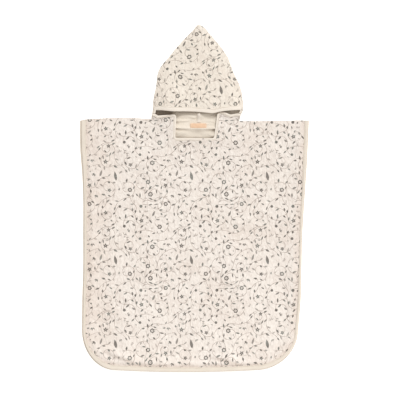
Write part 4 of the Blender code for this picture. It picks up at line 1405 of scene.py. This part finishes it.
for r in range(total_rows - 1):
    for c in range(across):
        if r >= brim_row and cheek_left <= c < cheek_right:
            continue
        quad = [(c, r), (c + 1, r), (c + 1, r + 1), (c, r + 1)]
        near = girth_here[c, r + 1]
        faces.append([vert(0, *q) for q in quad])
        kinds.append(0)
        cloth_places.extend(place_of(*q, near) for q in quad)
        bakes.extend((0.01 + 0.47 * a / across, 0.92 * b / total_rows) for a, b in quad)
        if r + 1 >= first_inner:
            back_quad = [quad[0], quad[3], quad[2], quad[1]]
            ids = [vert(1, *q) for q in back_quad]
            if ids[0] == ids[3]:
                ids, back_quad = ids[:3], back_quad[:3]
            faces.append(ids)
            kinds.append(1)
            cloth_places.extend(place_of(*q, near) for q in back_quad)
            bakes.extend((0.51 + 0.47 * a / across, 0.92 * b / total_rows) for a, b in back_quad)
tip = len(verts)
verts.append((POINT_X, HOOD_RISE, FOLD / 2))
for c in range(across):
    faces.append([tip, vert(0, c + 1, 0), vert(0, c, 0)])
    kinds.append(0)
    near = girth_here[c, 0]
    cloth_places.extend([(near + POINT_X, HOOD_RISE), place_of(c + 1, 0, near),
                         place_of(c, 0, near)])
    bakes.extend([(0.01 + 0.98 * (c + 0.5) / across, 0.945), (0.01 + 0.98 * (c + 0.9) / across, 0.93),
                  (0.01 + 0.98 * (c + 0.1) / across, 0.93)])


rims = []


def rim(c0, r0, c1, r1):
    faces.append([vert(0, c0, r0), vert(0, c1, r1), vert(1, c1, r1), vert(1, c0, r0)])
    kinds.append(1)
    near = girth_here[c0 % across, r0]
    a, b = place_of(c0, r0, near), place_of(c1, r1, near)
    cloth_places.extend([a, b, b, a])
    k, count = len(rims), across + cheek_right - cheek_left + 4 * BELOW_ROWS
    rims.append(k)
    u, v = 0.01 + 0.98 * k / count, 0.01 + 0.98 * (k + 0.9) / count
    bakes.extend([(u, 0.96), (v, 0.96), (v, 0.98), (u, 0.98)])


for c in range(cheek_left, cheek_right):
    rim(c, brim_row, c + 1, brim_row)
for r in range(brim_row, last):
    rim(cheek_left, r + 1, cheek_left, r)
    rim(cheek_right, r, cheek_right, r + 1)
for c in range(cheek_right, across + cheek_left):
    rim(c, last, c + 1, last)
hood = new_object("hood_cloth", verts, faces, [PRINTED_HOOD, TERRY], kinds)
cloth_places = np.array(cloth_places)
assert len(hood.data.loops) == len(cloth_places)
set_map(hood.data, "Cloth", cloth_places * MM)
set_map(hood.data, "OFBake", np.array(bakes))
lay_print(hood.data, cloth_places + np.array((126.0, 62.0)))
# Painted shade: the pile is darkened deep in the hood's left pocket, less in the right one, and at
# the notch's left corner.
spots = np.array(verts)
pocket_shade = (ease((spots[:, 0] + 103) / 6) * ease((-46 - spots[:, 0]) / 14)
         * ease((44 - spots[:, 1]) / 20) * ease((spots[:, 1] + 10) / 14))
pocket_shade = pocket_shade + 0.3 * (ease((spots[:, 0] - 72) / 12) * ease((120 - spots[:, 0]) / 6)
                       * ease((34 - spots[:, 1]) / 16) * ease((spots[:, 1] + 10) / 14))
pocket_shade = pocket_shade + 0.4 * spot(spots[:, 0], spots[:, 1], -46, -10, 6, 2.6)
keep_value(hood, "deep", pocket_shade)
hood.data.uv_layers["Cloth"].active_render = True

# The brim's tape follows the face edge, and turns down at both cheeks.


def middle(c, r):
    return (outer[c % across, r] + inner[c % across, r]) / 2


cheek_rows = list(range(last, brim_row, -5))
path = [middle(cheek_left, r) for r in cheek_rows]
toward = [middle(cheek_left - 2, r) for r in cheek_rows]
path += [middle(c, brim_row) for c in range(cheek_left, cheek_right + 1)]
toward += [middle(c, brim_row - 2) for c in range(cheek_left, cheek_right + 1)]
path += [middle(cheek_right, r) for r in reversed(cheek_rows)]
toward += [middle(cheek_right + 2, r) for r in reversed(cheek_rows)]
path, toward = np.array(path), np.array(toward)
way = toward - path
way[:, 2] *= 0.5
way /= np.linalg.norm(way, axis=1)[:, None]
# the corners turn over a few stations
smooth = way.copy()
for _ in range(6):
    smooth[1:-1] = (smooth[:-2] + 2 * smooth[1:-1] + smooth[2:]) / 4
way = smooth / np.linalg.norm(smooth, axis=1)[:, None]
# and the legs narrow there to what the cheek's fold leaves
folds = fold_centres(path[:, 1])
room = np.minimum(np.abs(folds[0] - path[:, 0]), np.abs(folds[1] - path[:, 0])) + RAW - 0.2
station = np.arange(len(path))
n_down = len(cheek_rows)
down = ease(np.maximum(n_down + 1 - station, station - (len(path) - 2 - n_down)) / 3.0)
brim_width = BRIM_TAPE * (1 - down) + np.minimum(room, BRIM_TAPE) * down
brim = swept_tape("brim_binding", path - way * RAW, None, None, brim_width, BRIM_BINDING, 3.3,
                  ways=way, ups=np.tile((0.0, 0.0, 1.0), (len(path), 1)))

# ----------------------------------------------------- seam tape and label


def strip(name, line, across_way, width, low, thick, mat, dome, seed, bow, fold=None,
          drape=1.0):
    """A thin strip with rounded edges, lying along a line. bow lifts all of it
    along the line, and fold lifts its middle, as wide as drape."""
    n = len(line)
    run = lengths(line)
    section = [(-0.5, 0.15), (-0.46, 0.9), (-0.36, 1.0), (-0.2, 1.0), (0.0, 1.0), (0.2, 1.0),
               (0.36, 1.0), (0.46, 0.9), (0.5, 0.15), (0.46, 0.0), (0.0, 0.0), (-0.46, 0.0)]
    rings = []
    for u, v in section:
        lift = dome * (1 - (2 * u) ** 2) if v > 0.5 else 0.0
        wave = np.array([noise.noise(Vector((s / 11.0, u * 1.5, seed))) for s in run]) * 0.35
        stand = bow(run)
        if fold is not None:
            stand = stand + fold(run) * math.exp(-(u * width / drape) ** 2)
        z = low + thick * v + lift + (np.maximum(wave, -0.1) + stand) * (v > 0.05)
        rings.append(np.c_[line + across_way * (u * width), z])
    verts = np.concatenate(rings)
    size = len(section)
    faces = [(j * n + k, ((j + 1) % size) * n + k, ((j + 1) % size) * n + k + 1, j * n + k + 1)
             for j in range(size) for k in range(n - 1)]
    faces += [[j * n for j in range(size)], [j * n + n - 1 for j in reversed(range(size))]]
    obj = new_object(name, verts, faces, [mat])
    ids = corner_verts(obj.data)
    across_at = np.array([(u + 0.5) * width for u, _ in section])
    set_map(obj.data, "Along", np.stack([run[ids % n], across_at[ids // n]], 1) * MM)
    bake = []
    for j in range(size):
        for k in range(n - 1):
            bake += [((k + a) / n * 0.9 + 0.01, (j + b) / size * 0.98 + 0.01)
                     for a, b in ((0, 0), (0, 1), (1, 1), (1, 0))]
    for foot, order in ((0.1, section), (0.3, section[::-1])):
        bake += [(0.95 + 0.04 * u, foot + 0.1 * v) for u, v in order]
    set_map(obj.data, "OFBake", bake)
    obj.data.uv_layers["Along"].active_render = True
    return obj


seam_rise = np.linspace(SEAM_TAPE_FROM, SEAM_TAPE_TO, 84)
seam_tape = strip("hood_seam_binding", np.stack([np.full(84, SEAM_TAPE_X), seam_rise], 1),
                  np.array([1.0, 0.0]), SEAM_TAPE, CLOTH + GAP, TAPE, SEAM_BINDING, 0.9, 2.2,
                  lambda run: mouth(SEAM_TAPE_X, run + SEAM_TAPE_FROM),
                  lambda run: (PUCKER_HIGH + 0.3) * np.exp(
                      -((run + SEAM_TAPE_FROM - PUCKER_RISE) / PUCKER_LONG) ** 2), PUCKER_WIDE)
label_x = np.linspace(LABEL_X - LABEL_LENGTH / 2, LABEL_X + LABEL_LENGTH / 2, 34)
label = strip("neck_label_woven", np.stack([label_x, np.full(34, LABEL_RISE)], 1),
              np.array([0.0, 1.0]), LABEL_HEIGHT, CLOTH + GAP, TAPE, LABEL_MAT, 0.4, 5.5,
              lambda run: 2.2 + 0.5 * np.sin(run / 9.0))

# ------------------------------------------------------ what goes with what



for obj, node, slot in ((back, "back_panel", "printed_cloth"),
                        (front, "front_panel", "printed_cloth"),
                        (hood, "hood", "printed_cloth"),
                        (back_tape, "back_edge_tape", "plain_tape"),
                        (front_tape, "front_edge_tape", "plain_tape"),
                        (neck_tape, "neck_tape", "plain_tape"),
                        (brim, "brim_tape", "plain_tape"),
                        (seam_tape, "hood_seam_tape", "plain_tape"),
                        (label, "neck_label", "woven_label")):
    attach(obj, "root")
    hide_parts(node)

# ------------------------------------------------- floor, light and camera

floor_mesh = bpy.data.meshes.new("floor")
R = 30.0
floor_mesh.from_pydata([(-R, -R, -0.0004), (R, -R, -0.0004), (R, R, -0.0004), (-R, R, -0.0004)],
                       [], [(0, 1, 2, 3)])
floor = bpy.data.objects.new("floor", floor_mesh)
bpy.context.scene.collection.objects.link(floor)
paper = bpy.data.materials.new("floor_paper")
paper.use_nodes = True
nodes = paper.node_tree.nodes
shader = nodes["Principled BSDF"]
shader.inputs["Base Color"].default_value = (0.92, 0.92, 0.92, 1)
shader.inputs["Roughness"].default_value = 0.95
shader.inputs["Emission Color"].default_value = (1, 1, 1, 1)
shader.inputs["Emission Strength"].default_value = 0.45
floor_mesh.materials.append(paper)

sun_data = bpy.data.lights.new("key", "SUN")
sun_data.energy = 2.14
sun_data.angle = math.radians(11)
sun_data.color = (0.985, 1.0, 1.0)
sun = bpy.data.objects.new("key", sun_data)
sun.rotation_euler = Vector((-0.38, -1.0, -1.22)).to_track_quat("-Z", "Y").to_euler()
bpy.context.scene.collection.objects.link(sun)

fill_data = bpy.data.lights.new("fill", "AREA")
fill_data.energy = 7.5
fill_data.size = 1.2
fill_data.color = (1.0, 0.98, 0.95)
fill = bpy.data.objects.new("fill", fill_data)
fill.location = (0.7, -1.6, 0.85)
fill.rotation_euler = Vector((-0.65, 1.5, -0.85)).to_track_quat("-Z", "Y").to_euler()
fill.visible_camera = False
bpy.context.scene.collection.objects.link(fill)

world = bpy.data.worlds.new("studio")
world.use_nodes = True
world.node_tree.nodes["Background"].inputs["Color"].default_value = (1.0, 0.962, 0.912, 1)
world.node_tree.nodes["Background"].inputs["Strength"].default_value = 0.57
bpy.context.scene.world = world
bpy.context.scene.view_settings.view_transform = "Standard"

# Straight above, framing one metre of the surface.
cam_data = bpy.data.cameras.new("camera")
cam_data.lens, cam_data.sensor_width = 100.0, 36.0
cam_data.clip_end = 100.0
camera = bpy.data.objects.new("camera", cam_data)
camera.location = (0.014, -0.00425, 2.7778 + 0.006)
bpy.context.scene.collection.objects.link(camera)
bpy.context.scene.camera = camera
